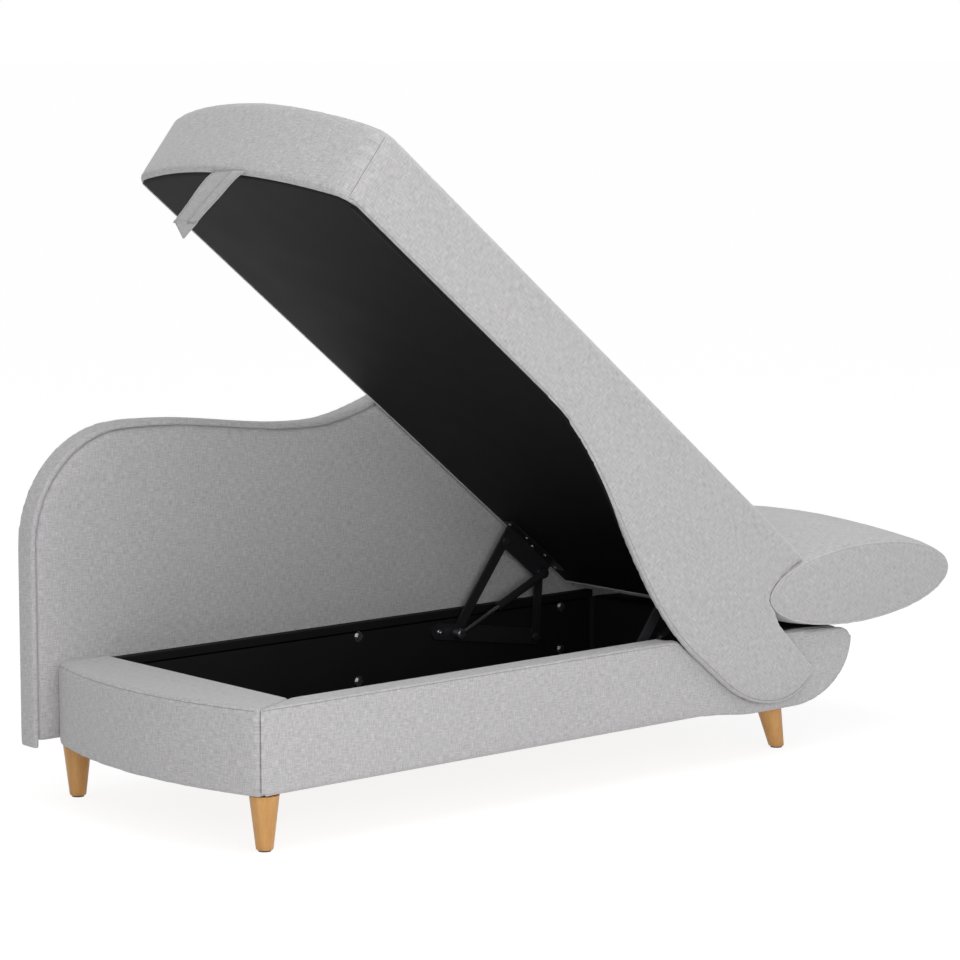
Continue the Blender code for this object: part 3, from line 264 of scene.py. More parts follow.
def woven_cloth(name, light, dark):
    """Heathered plain weave along each panel's own two directions, with long slubs in both yarns."""
    finish = Finish(name)
    u, v, _ = finish.parts(finish.node("ShaderNodeUVMap", {"uv_map": "weave"}))
    warp = (u * (math.tau / YARN)).maths("SINE")
    weft = (v * (math.tau / YARN)).maths("SINE")
    weave = warp * weft
    slub_along = finish.noise(u * 60.0, v * 480.0, 3.0, 1.0)
    slub_across = finish.noise(u * 480.0, v * 60.0, 7.0, 1.0)
    mottle = finish.noise(u * 9.0, v * 9.0)
    slubs = slub_along + slub_across - 1.0
    tone = slubs * 1.5 + weave * 0.10 + (mottle - 0.5) * 0.14 + 0.5
    colour = finish.mix(tone.maths("MINIMUM", 1.0).maths("MAXIMUM", 0.0), dark, light)
    normal = finish.bump(weave * 0.35 + slubs * 0.9, 0.0009, 0.45)
    return finish.surface(Base_Color=colour, Roughness=0.92, Normal=normal, Specular_IOR_Level=0.15,
                          Sheen_Weight=0.6, Sheen_Roughness=0.45)


def black_lining(name):
    """Thin black non-woven cloth with a faint satin face."""
    finish = Finish(name)
    x, y, z = finish.parts(finish.node("ShaderNodeTexCoord", output="Object"))
    fibre = finish.noise(x * 900.0, y * 900.0, z * 900.0, 3.0)
    cloud = finish.noise(x * 7.0, y * 7.0, z * 7.0)
    colour = finish.mix(cloud, (0.0075, 0.0068, 0.0075, 1.0), (0.0115, 0.0105, 0.0115, 1.0))
    rough = cloud * 0.12 + 0.60
    normal = finish.bump(fibre * 0.4 + cloud * 2.0, 0.0005, 0.5)
    return finish.surface(Base_Color=colour, Roughness=rough, Normal=normal, Specular_IOR_Level=0.16)


def grained_wood(name, pale, deep, along, rough):
    """Wood with its grain along one axis."""
    finish = Finish(name)
    place = finish.parts(finish.node("ShaderNodeTexCoord", output="Object"))
    broad = [part * (5.0 if axis == along else 75.0) for axis, part in zip("XYZ", place)]
    fine = [part * (14.0 if axis == along else 620.0) for axis, part in zip("XYZ", place)]
    rings = finish.noise(*broad, 3.0)
    pores = finish.noise(*fine, 2.0)
    tone = (rings - 0.5) * 1.9 + (pores - 0.5) * 0.8 + 0.5
    colour = finish.mix(tone.maths("MINIMUM", 1.0).maths("MAXIMUM", 0.0), pale, deep)
    normal = finish.bump(pores, 0.0003, 0.35)
    return finish.surface(Base_Color=colour, Roughness=(pores - 0.5) * 0.25 + rough, Normal=normal)


def metal(name, colour, rough, metallic, speck):
    """Painted or plated steel with a little variation in its gloss."""
    finish = Finish(name)
    x, y, z = finish.parts(finish.node("ShaderNodeTexCoord", output="Object"))
    grain = finish.noise(x * 260.0, y * 260.0, z * 260.0, 3.0)
    shade = finish.mix(grain, colour, [level * speck for level in colour[:3]] + [1.0])
    normal = finish.bump(grain, 0.0002, 0.25)
    return finish.surface(Base_Color=shade, Roughness=(grain - 0.5) * 0.2 + rough, Metallic=metallic,
                          Normal=normal)


CLOTH = woven_cloth("grey_cloth", grey(0.62), grey(0.41))
SEAM_THREAD = woven_cloth("seam_thread", grey(0.34), grey(0.24))
WELT_CLOTH = woven_cloth("welt_cloth", grey(0.66), grey(0.50))
STRAP_CLOTH = woven_cloth("strap_cloth", grey(0.50), grey(0.35))
BLACK_LINING = black_lining("black_lining")
LEG_WOOD = grained_wood("oiled_wood", (0.70, 0.385, 0.135, 1.0), (0.55, 0.265, 0.075, 1.0), "Z", 0.42)
TIMBER = grained_wood("pale_timber", (0.60, 0.45, 0.28, 1.0), (0.48, 0.33, 0.18, 1.0), "X", 0.60)
STEEL = metal("black_steel", (0.014, 0.014, 0.016, 1.0), 0.42, 0.0, 1.5)
ZINC = metal("zinc_plate", (0.62, 0.63, 0.65, 1.0), 0.34, 1.0, 0.8)
FELT = metal("dark_felt", (0.05, 0.05, 0.05, 1.0), 0.9, 0.0, 1.3)
CAD_FINISH = {"pale_timber": TIMBER, "black_steel": STEEL, "zinc_plate": ZINC, "dark_felt": FELT,
              "oiled_wood": LEG_WOOD, "black_lining": BLACK_LINING, "grey_cloth": CLOTH}
SLOT_OF = {finish.name: slot for slot, finish in CAD_FINISH.items()}
for cloth in (SEAM_THREAD, WELT_CLOTH, STRAP_CLOTH):
    SLOT_OF[cloth.name] = "grey_cloth"


def finish_solids():
    """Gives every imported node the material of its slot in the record."""
    for entry in frame["record"]["subparts"]:
        node = NODES[entry["node"]]
        node.data.materials.clear()
        node.data.materials.append(CAD_FINISH[entry["material_slot"]])


# Curves

def foot_edge(y):
    """Plan of the foot end, halfway between the box's edge and the lid's."""
    across = 2 * y / BASE_DEPTH - 1
    return -FOOT_BULGE * (1 - across * across) - FOOT_SLANT * y / BASE_DEPTH


def lid_edge(y):
    """Plan of the lid's foot end, its two corners rounded."""
    reach = min(max(LID_NEAR + LID_CORNER - y, y - LID_FAR + LID_CORNER, 0.0), LID_CORNER)
    rounding = LID_CORNER - math.sqrt(LID_CORNER ** 2 - reach ** 2)
    return foot_edge(y) - LID_OVERHANG / 2 + rounding


def spread(start, end, steps):
    return [start + (end - start) * step / steps for step in range(steps + 1)]


def arc(centre, radius_x, radius_z, start, end, steps):
    angles = [math.radians(angle) for angle in spread(start, end, steps)]
    return [Vector((centre[0] + radius_x * math.cos(a), centre[1] + radius_z * math.sin(a))) for a in angles]


def wave(start, end, steps):
    """A half wave between two points, level at both."""
    points = []
    for share in spread(0.0, 1.0, steps):
        rise = (1 - math.cos(math.pi * share)) / 2
        points.append(Vector((start[0] + (end[0] - start[0]) * share, start[1] + (end[1] - start[1]) * rise)))
    return points


def moved_in(points, distance):
    """A line of (x, z) points shifted to its left."""
    result = []
    for index, point in enumerate(points):
        before = points[max(index - 1, 0)]
        after = points[min(index + 1, len(points) - 1)]
        way = (after - before).normalized()
        result.append(point + Vector((-way.y, way.x)) * distance)
    return result


def fine(points, step):
    """The same line in 3-D with points no further apart than a step."""
    result = []
    for start, end in zip(points, points[1:]):
        count = max(1, math.ceil((end - start).length / step))
        result += [start.lerp(end, share / count) for share in range(count)]
    return result + [points[-1]]


# Meshes

def add_item(name, mesh, finish=None):
    item = bpy.data.objects.new(name, mesh)
    SCENE.collection.objects.link(item)
    if finish:
        mesh.materials.clear()
        mesh.materials.append(finish)
    return item


def mesh_of(model, name):
    mesh = bpy.data.meshes.new(name)
    bmesh.ops.recalc_face_normals(model, faces=model.faces)
    model.to_mesh(mesh)
    model.free()
    return mesh


def evaluated(item):
    return bpy.data.meshes.new_from_object(item.evaluated_get(bpy.context.evaluated_depsgraph_get()))


def apply_to(item, kind, **settings):
    """Puts one modifier on a piece and turns the result into its mesh."""
    modifier = item.modifiers.new(kind.lower(), kind)
    for key, value in settings.items():
        setattr(modifier, key, value)
    mesh = evaluated(item)
    item.modifiers.clear()
    old = item.data
    item.data = mesh
    bpy.data.meshes.remove(old)


def points_of(mesh):
    flat = np.empty(len(mesh.vertices) * 3)
    mesh.vertices.foreach_get("co", flat)
    return flat.reshape(-1, 3)


def set_points(mesh, points):
    mesh.vertices.foreach_set("co", points.reshape(-1))
    mesh.update()


def copies(place, *names):
    """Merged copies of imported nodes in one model, in a place's own frame."""
    model = bmesh.new()
    for name in names:
        model.from_mesh(NODES[name].data)
    bmesh.ops.remove_doubles(model, verts=model.verts, dist=1e-6)
    model.transform(place.inverted())
    return model


def hull(place, name, grown=1.0):
    """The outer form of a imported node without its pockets, grown about its middle."""
    source = copies(place, name)
    model = bmesh.new()
    corners = [model.verts.new(vertex.co) for vertex in source.verts]
    source.free()
    inner = bmesh.ops.convex_hull(model, input=corners)["geom_interior"]
    inside = [item for item in inner if isinstance(item, bmesh.types.BMVert)]
    bmesh.ops.delete(model, geom=inside, context="VERTS")
    middle = sum((vertex.co for vertex in model.verts), Vector()) / len(model.verts)
    for vertex in model.verts:
        vertex.co = middle + (vertex.co - middle) * grown
    return model


def smoothed(mesh, values, rounds):
    """Values on a mesh's points, evened out along its edges."""
    ends = np.empty(len(mesh.edges) * 2, dtype=np.int32)
    mesh.edges.foreach_get("vertices", ends)
    first, second = ends.reshape(-1, 2).T
    total = len(values)
    count = np.bincount(ends, minlength=total)
    for _ in range(rounds):
        around = np.bincount(first, values[second], total) + np.bincount(second, values[first], total)
        values = (values + around / count) / 2
    return values


def swell(name, model, voxel, shrink, cap, held, subdivide=True):
    """A stuffed form from a plain one: meshed evenly, drawn in a little, then blown up as cloth.
    held tells which points stay where they are, and cap is how far the others may rise."""
    item = add_item(name, mesh_of(model, name))
    apply_to(item, "REMESH", mode="VOXEL", voxel_size=voxel, use_smooth_shade=True)
    points = points_of(item.data)
    normals = np.empty(points.size)
    item.data.vertex_normals.foreach_get("vector", normals)
    normals = normals.reshape(-1, 3)
    fixed = held(points)
    drawn = np.where(fixed, 0.0, shrink)
    start = points - normals * drawn[:, None]
    set_points(item.data, start)
    rise = drawn
    group = item.vertex_groups.new(name="held")
    group.add(np.flatnonzero(fixed).tolist(), 1.0, "REPLACE")
    cloth = item.modifiers.new("cloth", "CLOTH")
    cloth.collision_settings.use_collision = False
    cloth.point_cache.frame_end = FRAMES
    settings = cloth.settings
    settings.quality = 4
    settings.mass = 0.3
    settings.tension_stiffness = 15.0
    settings.compression_stiffness = 15.0
    settings.shear_stiffness = 5.0
    settings.bending_stiffness = 0.5
    settings.use_pressure = True
    settings.uniform_pressure_force = 4.0
    settings.effector_weights.gravity = 0.0
    settings.vertex_group_mass = "held"
    for number in range(1, FRAMES + 1):
        SCENE.frame_set(number)
    step = points_of(evaluated(item)) - start
    item.modifiers.clear()
    item.vertex_groups.clear()
    SCENE.frame_set(1)
    rise = np.clip((step * normals).sum(axis=1), drawn, np.where(fixed, 0.0, cap))
    rise = smoothed(item.data, rise, 10)
    set_points(item.data, start + normals * rise[:, None])
    apply_to(item, "SMOOTH", factor=0.5, iterations=2)
    if subdivide:
        apply_to(item, "SUBSURF", levels=1, render_levels=1)
    return item


def crease(item, path, depth, reach):
    """Draws a piece's surface in along a sewn line."""
    tree = KDTree(len(path))
    for index, point in enumerate(path):
        tree.insert(point, index)
    tree.balance()
    mesh = item.data
    shifts = []
    for vertex in mesh.vertices:
        distance = tree.find(vertex.co)[2]
        if distance < reach:
            shifts.append((vertex, vertex.normal * depth * (1 - distance / reach) ** 2))
    for vertex, shift in shifts:
        vertex.co -= shift
    mesh.update()


def on_surface(item, path, lift):
    """A path laid on a piece's surface, a little above it."""
    mesh = item.data
    corners = [vertex.co for vertex in mesh.vertices]
    tree = BVHTree.FromPolygons(corners, [list(face.vertices) for face in mesh.polygons])
    result = []
    for point in path:
        place, normal, _, _ = tree.find_nearest(point)
        result.append(place + normal * lift)
    return result


def lay_weave(mesh):
    """A UV map in metres on each face's own plane, for the weave."""
    layer = mesh.uv_layers.new(name="weave")
    corners = np.empty(len(mesh.loops), dtype=np.int32)
    mesh.loops.foreach_get("vertex_index", corners)
    totals = np.empty(len(mesh.polygons), dtype=np.int32)
    mesh.polygons.foreach_get("loop_total", totals)
    normals = np.empty(len(mesh.polygons) * 3)
    mesh.polygons.foreach_get("normal", normals)
    facing = np.repeat(np.abs(normals.reshape(-1, 3)).argmax(axis=1), totals)
    places = points_of(mesh)[corners]
    first = np.where(facing == 0, places[:, 1], places[:, 0])
    second = np.where(facing == 2, places[:, 1], places[:, 2])
    layer.data.foreach_set("uv", np.column_stack((first, second)).reshape(-1))


def settle(item, place, body, finish, *nodes, weave=True):
    """Puts a finished piece where it belongs: weave, material, place in the mesh and body, and hides the nodes
    it stands for.
    """
    mesh = item.data
    if weave:
        lay_weave(mesh)
    mesh.materials.clear()
    mesh.materials.append(finish)
    mesh.transform(place)
    mesh.shade_smooth()
    mesh.update()
    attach(item, body)
    if nodes:
        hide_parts(*nodes)
    return item


# What repeats: sewn lines, stitches and screws

class Tree:
    """A geometry node tree being built, with named inputs."""

    def __init__(self, name, **inputs):
        self.tree = bpy.data.node_groups.new(name, "GeometryNodeTree")
        face = self.tree.interface
        face.new_socket("Path", in_out="INPUT", socket_type="NodeSocketGeometry")
        self.names = {}
        for key, kind in inputs.items():
            self.names[key] = face.new_socket(key, in_out="INPUT", socket_type="NodeSocket" + kind).identifier
        face.new_socket("Result", in_out="OUTPUT", socket_type="NodeSocketGeometry")
        self.start = self.tree.nodes.new("NodeGroupInput")
        self.end = self.tree.nodes.new("NodeGroupOutput")

    def node(self, kind, settings=None, **inputs):
        made = self.tree.nodes.new(kind)
        for key, value in (settings or {}).items():
            setattr(made, key, value)
        for key, value in inputs.items():
            socket = made.inputs[key.replace("_", " ")]
            if isinstance(value, bpy.types.NodeSocket):
                self.tree.links.new(value, socket)
            else:
                socket.default_value = value
        return made

    def given(self, key):
        return self.start.outputs[key]

    def finish(self, geometry):
        real = self.node("GeometryNodeRealizeInstances", Geometry=geometry)
        made = self.node("GeometryNodeSetMaterial", Geometry=real.outputs[0], Material=self.given("Finish"))
        self.tree.links.new(made.outputs[0], self.end.inputs[0])
        return self


def tube_tree():
    """A round line along a path."""
    tree = Tree("sewn_line", Radius="Float", Finish="Material")
    curve = tree.node("GeometryNodeMeshToCurve", Mesh=tree.given("Path"))
    ring = tree.node("GeometryNodeCurvePrimitiveCircle", Resolution=8, Radius=tree.given("Radius"))
    tube = tree.node("GeometryNodeCurveToMesh", Curve=curve.outputs[0], Profile_Curve=ring.outputs[0],
                     Fill_Caps=True)
    return tree.finish(tube.outputs[0])


def row_tree():
    """A small piece repeated along a path, its long side with the path and its top facing one way."""
    tree = Tree("row", Piece="Object", Spacing="Float", Facing="Vector", Finish="Material")
    curve = tree.node("GeometryNodeMeshToCurve", Mesh=tree.given("Path"))
    even = tree.node("GeometryNodeResampleCurve", {"mode": "LENGTH"}, Curve=curve.outputs[0],
                     Length=tree.given("Spacing"))
    piece = tree.node("GeometryNodeObjectInfo", Object=tree.given("Piece"))
    tangent = tree.node("GeometryNodeInputTangent")
    up = tree.node("FunctionNodeAlignRotationToVector", {"axis": "Z"}, Vector=tree.given("Facing"))
    along = tree.node("FunctionNodeAlignRotationToVector", {"axis": "X", "pivot_axis": "Z"},
                      Rotation=up.outputs[0], Vector=tangent.outputs[0])
    row = tree.node("GeometryNodeInstanceOnPoints", Points=even.outputs[0],
                    Instance=piece.outputs["Geometry"], Rotation=along.outputs[0])
    return tree.finish(row.outputs[0])


def spot_tree():
    """A small piece at each point, its top facing one way, turned by a seeded chance."""
    tree = Tree("spots", Piece="Object", Facing="Vector", Finish="Material")
    points = tree.node("GeometryNodeMeshToPoints", Mesh=tree.given("Path"))
    piece = tree.node("GeometryNodeObjectInfo", Object=tree.given("Piece"))
    up = tree.node("FunctionNodeAlignRotationToVector", {"axis": "Z"}, Vector=tree.given("Facing"))
    chance = tree.node("FunctionNodeRandomValue", {"data_type": "FLOAT"}, Seed=4)
    chance.inputs[3].default_value = math.tau
    spin = tree.node("FunctionNodeAxisAngleToRotation", Axis=(0.0, 0.0, 1.0), Angle=chance.outputs[1])
    turn = tree.node("FunctionNodeRotateRotation", {"rotation_space": "LOCAL"}, Rotation=up.outputs[0],
                     Rotate_By=spin.outputs[0])
    spots = tree.node("GeometryNodeInstanceOnPoints", Points=points.outputs[0],
                      Instance=piece.outputs["Geometry"], Rotation=turn.outputs[0])
    return tree.finish(spots.outputs[0])


TUBE = tube_tree()
ROW = row_tree()
SPOTS = spot_tree()


def grown(name, tree, paths, **values):
    """A plain mesh from a node tree run on lines of points. A line that ends where it starts is closed."""
    model = bmesh.new()
    for path in paths:
        closed = len(path) > 2 and (path[0] - path[-1]).length < 1e-6
        corners = [model.verts.new(point) for point in (path[:-1] if closed else path)]
        if tree is not SPOTS:
            for start, end in zip(corners, corners[1:] + (corners[:1] if closed else [])):
                model.edges.new((start, end))
    mesh = bpy.data.meshes.new(name)
    model.to_mesh(mesh)
    model.free()
    item = add_item(name, mesh)
    modifier = item.modifiers.new("nodes", "NODES")
    modifier.node_group = tree.tree
    for key, value in values.items():
        modifier[tree.names[key]] = value
    made = evaluated(item)
    item.modifiers.clear()
    item.data = made
    bpy.data.meshes.remove(mesh)
    return item


def turned(profile, steps, name):
    """A solid of revolution about Z from (radius, height) points, listed from the top down."""
    model = bmesh.new()
    rings = []
    for radius, height in profile:
        angles = [math.tau * step / steps for step in range(steps)] if radius > 0 else [0.0]
        rings.append([model.verts.new((radius * math.cos(a), radius * math.sin(a), height)) for a in angles])
    for upper, lower in zip(rings, rings[1:]):
        for step in range(steps):
            corners = [upper[step % len(upper)], upper[(step + 1) % len(upper)]]
            corners += [lower[(step + 1) % len(lower)], lower[step % len(lower)]]
            unique = list(dict.fromkeys(corners))
            model.faces.new(unique)
    return mesh_of(model, name)


def small_piece(name, mesh):
    """A pattern for repeating, kept out of the picture."""
    item = add_item(name, mesh)
    SCENE.collection.objects.unlink(item)
    return item


def stitch_pattern(length, radius):
    profile = [(0.0, length / 2), (radius * 0.7, length / 2 - radius * 0.3), (radius, length / 2 - radius)]
    profile += [(radius, radius - length / 2), (radius * 0.7, radius * 0.3 - length / 2), (0.0, -length / 2)]
    mesh = turned(profile, 8, "stitch")
    mesh.transform(Matrix.Rotation(math.radians(90), 4, "Y"))
    return small_piece("stitch", mesh)


def screw_pattern(radius, height):
    """A pan head with a dished drive recess."""
    profile = [(0.0, height * 0.25), (radius * 0.34, height * 0.35), (radius * 0.42, height * 0.96)]
    profile += [(radius * 0.70, height), (radius * 0.92, height * 0.72), (radius, height * 0.30)]
    profile += [(radius, 0.0), (0.0, 0.0)]
    return small_piece("screw", turned(profile, 16, "screw"))


# Pieces of the lid

def cheek_edge():
    """The lid's lower near edge from the foot to the tip of the cheek, as (along, up)."""
    drop = wave((CHEEK_START, 0.0), (CHEEK_DEEP, -CHEEK_DEPTH), 60)
    tail_centre = (CHEEK_TIP - CHEEK_TAIL_X, -CHEEK_TIP_DEPTH)
    tail = arc(tail_centre, CHEEK_TAIL_X, CHEEK_DEPTH - CHEEK_TIP_DEPTH, -90, -4, 30)
    return [Vector((foot_edge(0.0) + 0.004, 0.0))] + drop + tail[1:]


def lid_prism():
    """The lid's foot part below the rounding of its top edge, with its two foot corners truly round."""
    model = bmesh.new()
    near = [LID_NEAR + LID_CORNER * (1 - math.cos(math.radians(angle))) for angle in range(0, 90, 10)]
    far = [LID_FAR - LID_CORNER * (1 - math.cos(math.radians(angle))) for angle in range(80, -1, -10)]
    middle = spread(LID_NEAR + LID_CORNER, LID_FAR - LID_CORNER, 24)
    plan = [(lid_edge(y), y) for y in near + middle + far]
    plan += [(SEAT_STRAIGHT, LID_FAR), (SEAT_STRAIGHT, LID_NEAR)]
    bar(model, *[[(s, y, z) for s, y in plan] for z in (UNDERSIDE, SEAT_EDGE - SEAT_ROUND)])
    return mesh_of(model, "lid_prism")


def bar(model, first, second):
    """A closed bar between two rings of points."""
    rings = [[model.verts.new(point) for point in ring] for ring in (first, second)]
    for step in range(len(first)):
        after = (step + 1) % len(first)
        model.faces.new((rings[0][step], rings[0][after], rings[1][after], rings[1][step]))
    model.faces.new(rings[0])
    model.faces.new(rings[1])


def strip_faces(model, rows):
    """Faces between rows of points."""
    grid = [[model.verts.new(point) for point in row] for row in rows]
    for before, after in zip(grid, grid[1:]):
        for first, second, third, fourth in zip(before, before[1:], after[1:], after):
            model.faces.new((first, second, third, fourth))


def thin_cloth(name, rows):
    """A piece of lining cloth from rows of points."""
    model = bmesh.new()
    strip_faces(model, rows)
    item = add_item(name, mesh_of(model, name))
    apply_to(item, "SOLIDIFY", thickness=FLAP, offset=0.0)
    return item


def edge_lining(item):
    """Black cloth over the lid's lower near edge and under the cheek, up to its hem."""
    edge = fine([Vector((p.x, 0.0, p.y)) for p in cheek_edge() if p.x < LINED_TO], 0.008)[4:]
    points, width = [], 9
    for point in edge:
        taper = max(0.0, 1 - (LINED_TO - point.x) / 0.16) ** 2
        columns = spread(LID_NEAR + 0.0022 + 0.016 * taper, 0.004, width - 1)
        points += [Vector((point.x, y, point.z - 0.003)) for y in columns]
    laid = on_surface(item, points, 0.0009)
    rows = [laid[start:start + width] for start in range(0, len(laid), width)]
    lining = thin_cloth("lid_edge_lining", rows)
    settle(lining, LID, "lid", BLACK_LINING, weave=False)


def trim(item, edge, reach, inner):
    """Sets a near side's edge on its true curve, where the even mesh left it ragged."""
    tree = KDTree(len(edge))
    for index, point in enumerate(edge):
        tree.insert((point.x, 0.0, point.z), index)
    tree.balance()
    for vertex in item.data.vertices:
        if vertex.co.y < inner and abs(vertex.normal.y) < 0.93:
            place, _, distance = tree.find((vertex.co.x, 0.0, vertex.co.z))
            if distance < reach:
                vertex.co.x, vertex.co.z = place.x, place.z
    item.data.update()


def hollow_edge(model):
    """Where the headrest's hollow opens in the lid's near side, from the hollow's own form."""
    level = sorted({round(vertex.co.y, 4) for vertex in model.verts})[2]
    ring = [vertex.co.copy() for vertex in model.verts if abs(vertex.co.y - level) < 0.0005]
    middle = sum(ring, Vector()) / len(ring)
    ring.sort(key=lambda point: math.atan2(point.z - middle.z, point.x - middle.x))
    return fine(ring + ring[:1], 0.002)


def sewn_line(name, item, path, place, body, depth=0.0015, reach=0.012, radius=THREAD, finish=None):
    """A sewn line pressed into a piece's surface, with its thread."""
    finish = finish or SEAM_THREAD
    laid = on_surface(item, fine(path, 0.004), 0.0)
    crease(item, laid, depth, reach)
    thread = grown(name, TUBE, [on_surface(item, laid, radius * 0.3)], Radius=radius, Finish=finish)
    return settle(thread, place, body, finish)


def make_seat():
    """The seat with its cheek: one padded body whose near side runs unbroken down to the S-shaped edge."""
    seat = hull(LID, "seat_cushion")
    plain = add_item("seat_plain", mesh_of(seat, "seat_plain"))
    roll = hull(LID, "headrest_roll", ROLL_GAP)
    opening = [point for point in hollow_edge(roll) if point.x < CHEEK_NECK]
    hollow = add_item("seat_hollow", mesh_of(roll, "seat_hollow"))
    apply_to(plain, "BOOLEAN", operation="DIFFERENCE", object=hollow, solver="EXACT")
    model = copies(LID, "lid_deck")
    for vertex in model.verts:
        if vertex.co.z < 0.010:
            vertex.co.z = UNDERSIDE
    for name in ("lid_side_pad", "lid_side_board"):
        side = copies(LID, name)
        model.from_mesh(mesh_of(side, name))
    model.from_mesh(lid_prism())
    model.from_mesh(plain.data)
    bpy.data.objects.remove(plain)
    bpy.data.objects.remove(hollow)

    def held(points):
        under = (points[:, 2] < 0.007) & (points[:, 1] > 0.0)
        back_of_cheek = (points[:, 2] < 0.007) & (points[:, 1] > LID_NEAR + 0.009)
        return under | back_of_cheek

    item = swell("seat_cloth", model, *SEAT_PADDING, held, subdivide=False)
    edge = [Vector((point.x, 0.0, point.y)) for point in cheek_edge() if point.x > TRIM_FROM]
    trim(item, fine([point for point in edge if point.x < FULL_TRIM], 0.002), 0.0055, LID_NEAR + 0.045)
    trim(item, fine([point for point in edge if point.x >= FULL_TRIM], 0.002), 0.0080, LID_NEAR + 0.045)
    trim(item, opening, 0.008, LID_NEAR + 0.030)
    neck = wave((CHEEK_NECK, NECK_TOP), (CHEEK_DROP, 0.0), 12)
    neck.append(Vector((CHEEK_TIP - CHEEK_TIP_DEPTH / 2, -CHEEK_TIP_DEPTH / 2)))
    trim(item, fine([Vector((point.x, 0.0, point.y)) for point in neck], 0.002), 0.0065, LID_NEAR + 0.030)
    edge = moved_in(cheek_edge(), SEAM_IN)
    path = [Vector((point.x, LID_NEAR, point.y)) for point in edge]
    sewn_line("seat_edge_seam", item, path, LID, "lid")
    turn = LID_CORNER * (1 - math.sqrt(0.5))
    corner = Vector((foot_edge(LID_NEAR) - LID_OVERHANG / 2 + turn, LID_NEAR + turn, 0.010))
    sewn_line("seat_corner_seam", item, [corner, corner + Vector((0.0, 0.0, SEAT_EDGE - 0.022))], LID, "lid")
    edge_lining(item)
    settle(item, LID, "lid", CLOTH, "seat_cushion", "lid_side_pad", "lid_deck", "lid_side_board")


def make_roll():
    """The headrest roll, with a welt round each end panel."""
    model = hull(LID, "headrest_roll")
    item = swell("headrest_cloth", model, *ROLL_PADDING, lambda points: np.zeros(len(points), dtype=bool))
    tilt = Matrix.Rotation(-math.radians(ROLL_TILT), 4, "Y")
    for side, y in (("near", LID_NEAR + ROLL_INSET), ("far", LID_FAR - ROLL_INSET)):
        ring = arc((0.0, 0.0), ROLL_MAJOR, ROLL_MINOR, 0, 360, 120)
        middle = Vector((ROLL_S, y, ROLL_UP))
        path = [middle + tilt @ Vector((point.x, 0.0, point.y)) for point in ring]
        path[-1] = path[0].copy()
        sewn_line(f"headrest_welt_{side}", item, path, LID, "lid", 0.002, 0.010, WELT, WELT_CLOTH)
    settle(item, LID, "lid", CLOTH, "headrest_roll")


def make_underlining():
    """Black cloth over the underside of the lid, with a light hem at its head end and its far side."""
    inset, steps_along, steps_across = 0.012, 120, 48
    near, far, low = LID_NEAR + 0.0035, LID_FAR - 0.018, 0.0012
    rows = []
    for along in spread(0.0, 1.0, steps_along):
        row = []
        for across in spread(0.0, 1.0, steps_across):
            y = near + (far - near) * across
            start = lid_edge(y) + inset
            s = start + (LINING_END - start) * along
            puff = math.sin(math.pi * along) * math.sin(math.pi * across)
            sag = 0.0009 * puff * (0.6 + 0.4 * math.sin(37 * s) * math.sin(23 * y))
            row.append((s, y, low - sag))
        rows.append(row)
    item = thin_cloth("lid_underlining_cloth", rows)
    settle(item, LID, "lid", BLACK_LINING, "lid_underlining", weave=False)
    rear = [Vector((LINING_END, y, 0.0008)) for y in spread(0.004, far, 20)]
    side = [Vector((s, far, 0.0008)) for s in spread(lid_edge(far) + inset, LINING_END, 40)]
    hem = grown("lid_lining_hem", TUBE, [rear, side], Radius=0.0014, Finish=WELT_CLOTH)
    settle(hem, LID, "lid", WELT_CLOTH)


def make_strap():
    """The pull strap: two lapped layers of ribbon that lean together, folded to a point at the end."""
    model = bmesh.new()
    face = foot_edge(STRAP_NEAR + STRAP_TOP / 2)
    top, low = UNDERLINING, UNDERLINING - STRAP_LENGTH
    fold = low + STRAP_POINT
    near_fold = STRAP_NEAR + STRAP_LEAN
    far_top, far_fold = STRAP_NEAR + STRAP_TOP, near_fold + STRAP_WIDTH
    lines = []

    def rows_between(first, last, shift):
        """Rows of points down the strap between two shares of its width."""
        rows = []
        for share in spread(0.0, 1.0, 24):
            near = STRAP_NEAR + STRAP_LEAN * share
            width = far_top + (far_fold - far_top) * share - near
            row = []
            for part in spread(first, last, 8):
                bow = 0.003 * math.sin(math.pi * share) + 0.0012 * math.sin(9 * share + 5 * part)
                out = bow * 0.5 + STRAP_OUT * min(1.0, 6 * share)
                row.append(Vector((face + shift - out, near + width * part, top + (fold - top) * share)))
            rows.append(row)
        return rows

    lift = Vector((-0.0012, 0.0, 0.0))
    for first, last, shift in ((0.0, STRAP_LAP, -0.0012), (STRAP_LAP - 0.08, 1.0, 0.0012)):
        rows = rows_between(first, last, shift)
        strip_faces(model, rows)
        lines.append([row[-1].lerp(row[0], 0.10) + lift for row in rows[1:-1]])
        lines.append([row[0].lerp(row[-1], 0.10) + lift for row in rows[1:-1]])
    face -= STRAP_OUT
    tip = Vector((face, near_fold + STRAP_TIP, low))
    ends = [Vector((face, near_fold, fold + 0.004)), Vector((face, far_fold, fold + 0.004))]
    point = [[ends[0].lerp(tip, share).lerp(ends[1].lerp(tip, share), part) for part in spread(0.0, 1.0, 8)]
             for share in spread(0.0, 0.95, 10)]
    strip_faces(model, point)
    item = add_item("pull_strap_cloth", mesh_of(model, "pull_strap_cloth"))
    apply_to(item, "SOLIDIFY", thickness=0.0016, offset=0.0)
    settle(item, LID, "lid", STRAP_CLOTH, "pull_strap")
    front = face - 0.0028
    lines.append([Vector((front, near_fold + STRAP_WIDTH * part, fold + 0.003)) for part in (0.06, 0.94)])
    stitches = grown("pull_strap_stitches", ROW, lines, Piece=stitch_pattern(0.0035, 0.0005), Spacing=0.0055,
                     Facing=(-1.0, 0.0, 0.0), Finish=SEAM_THREAD)
    settle(stitches, LID, "lid", SEAM_THREAD)


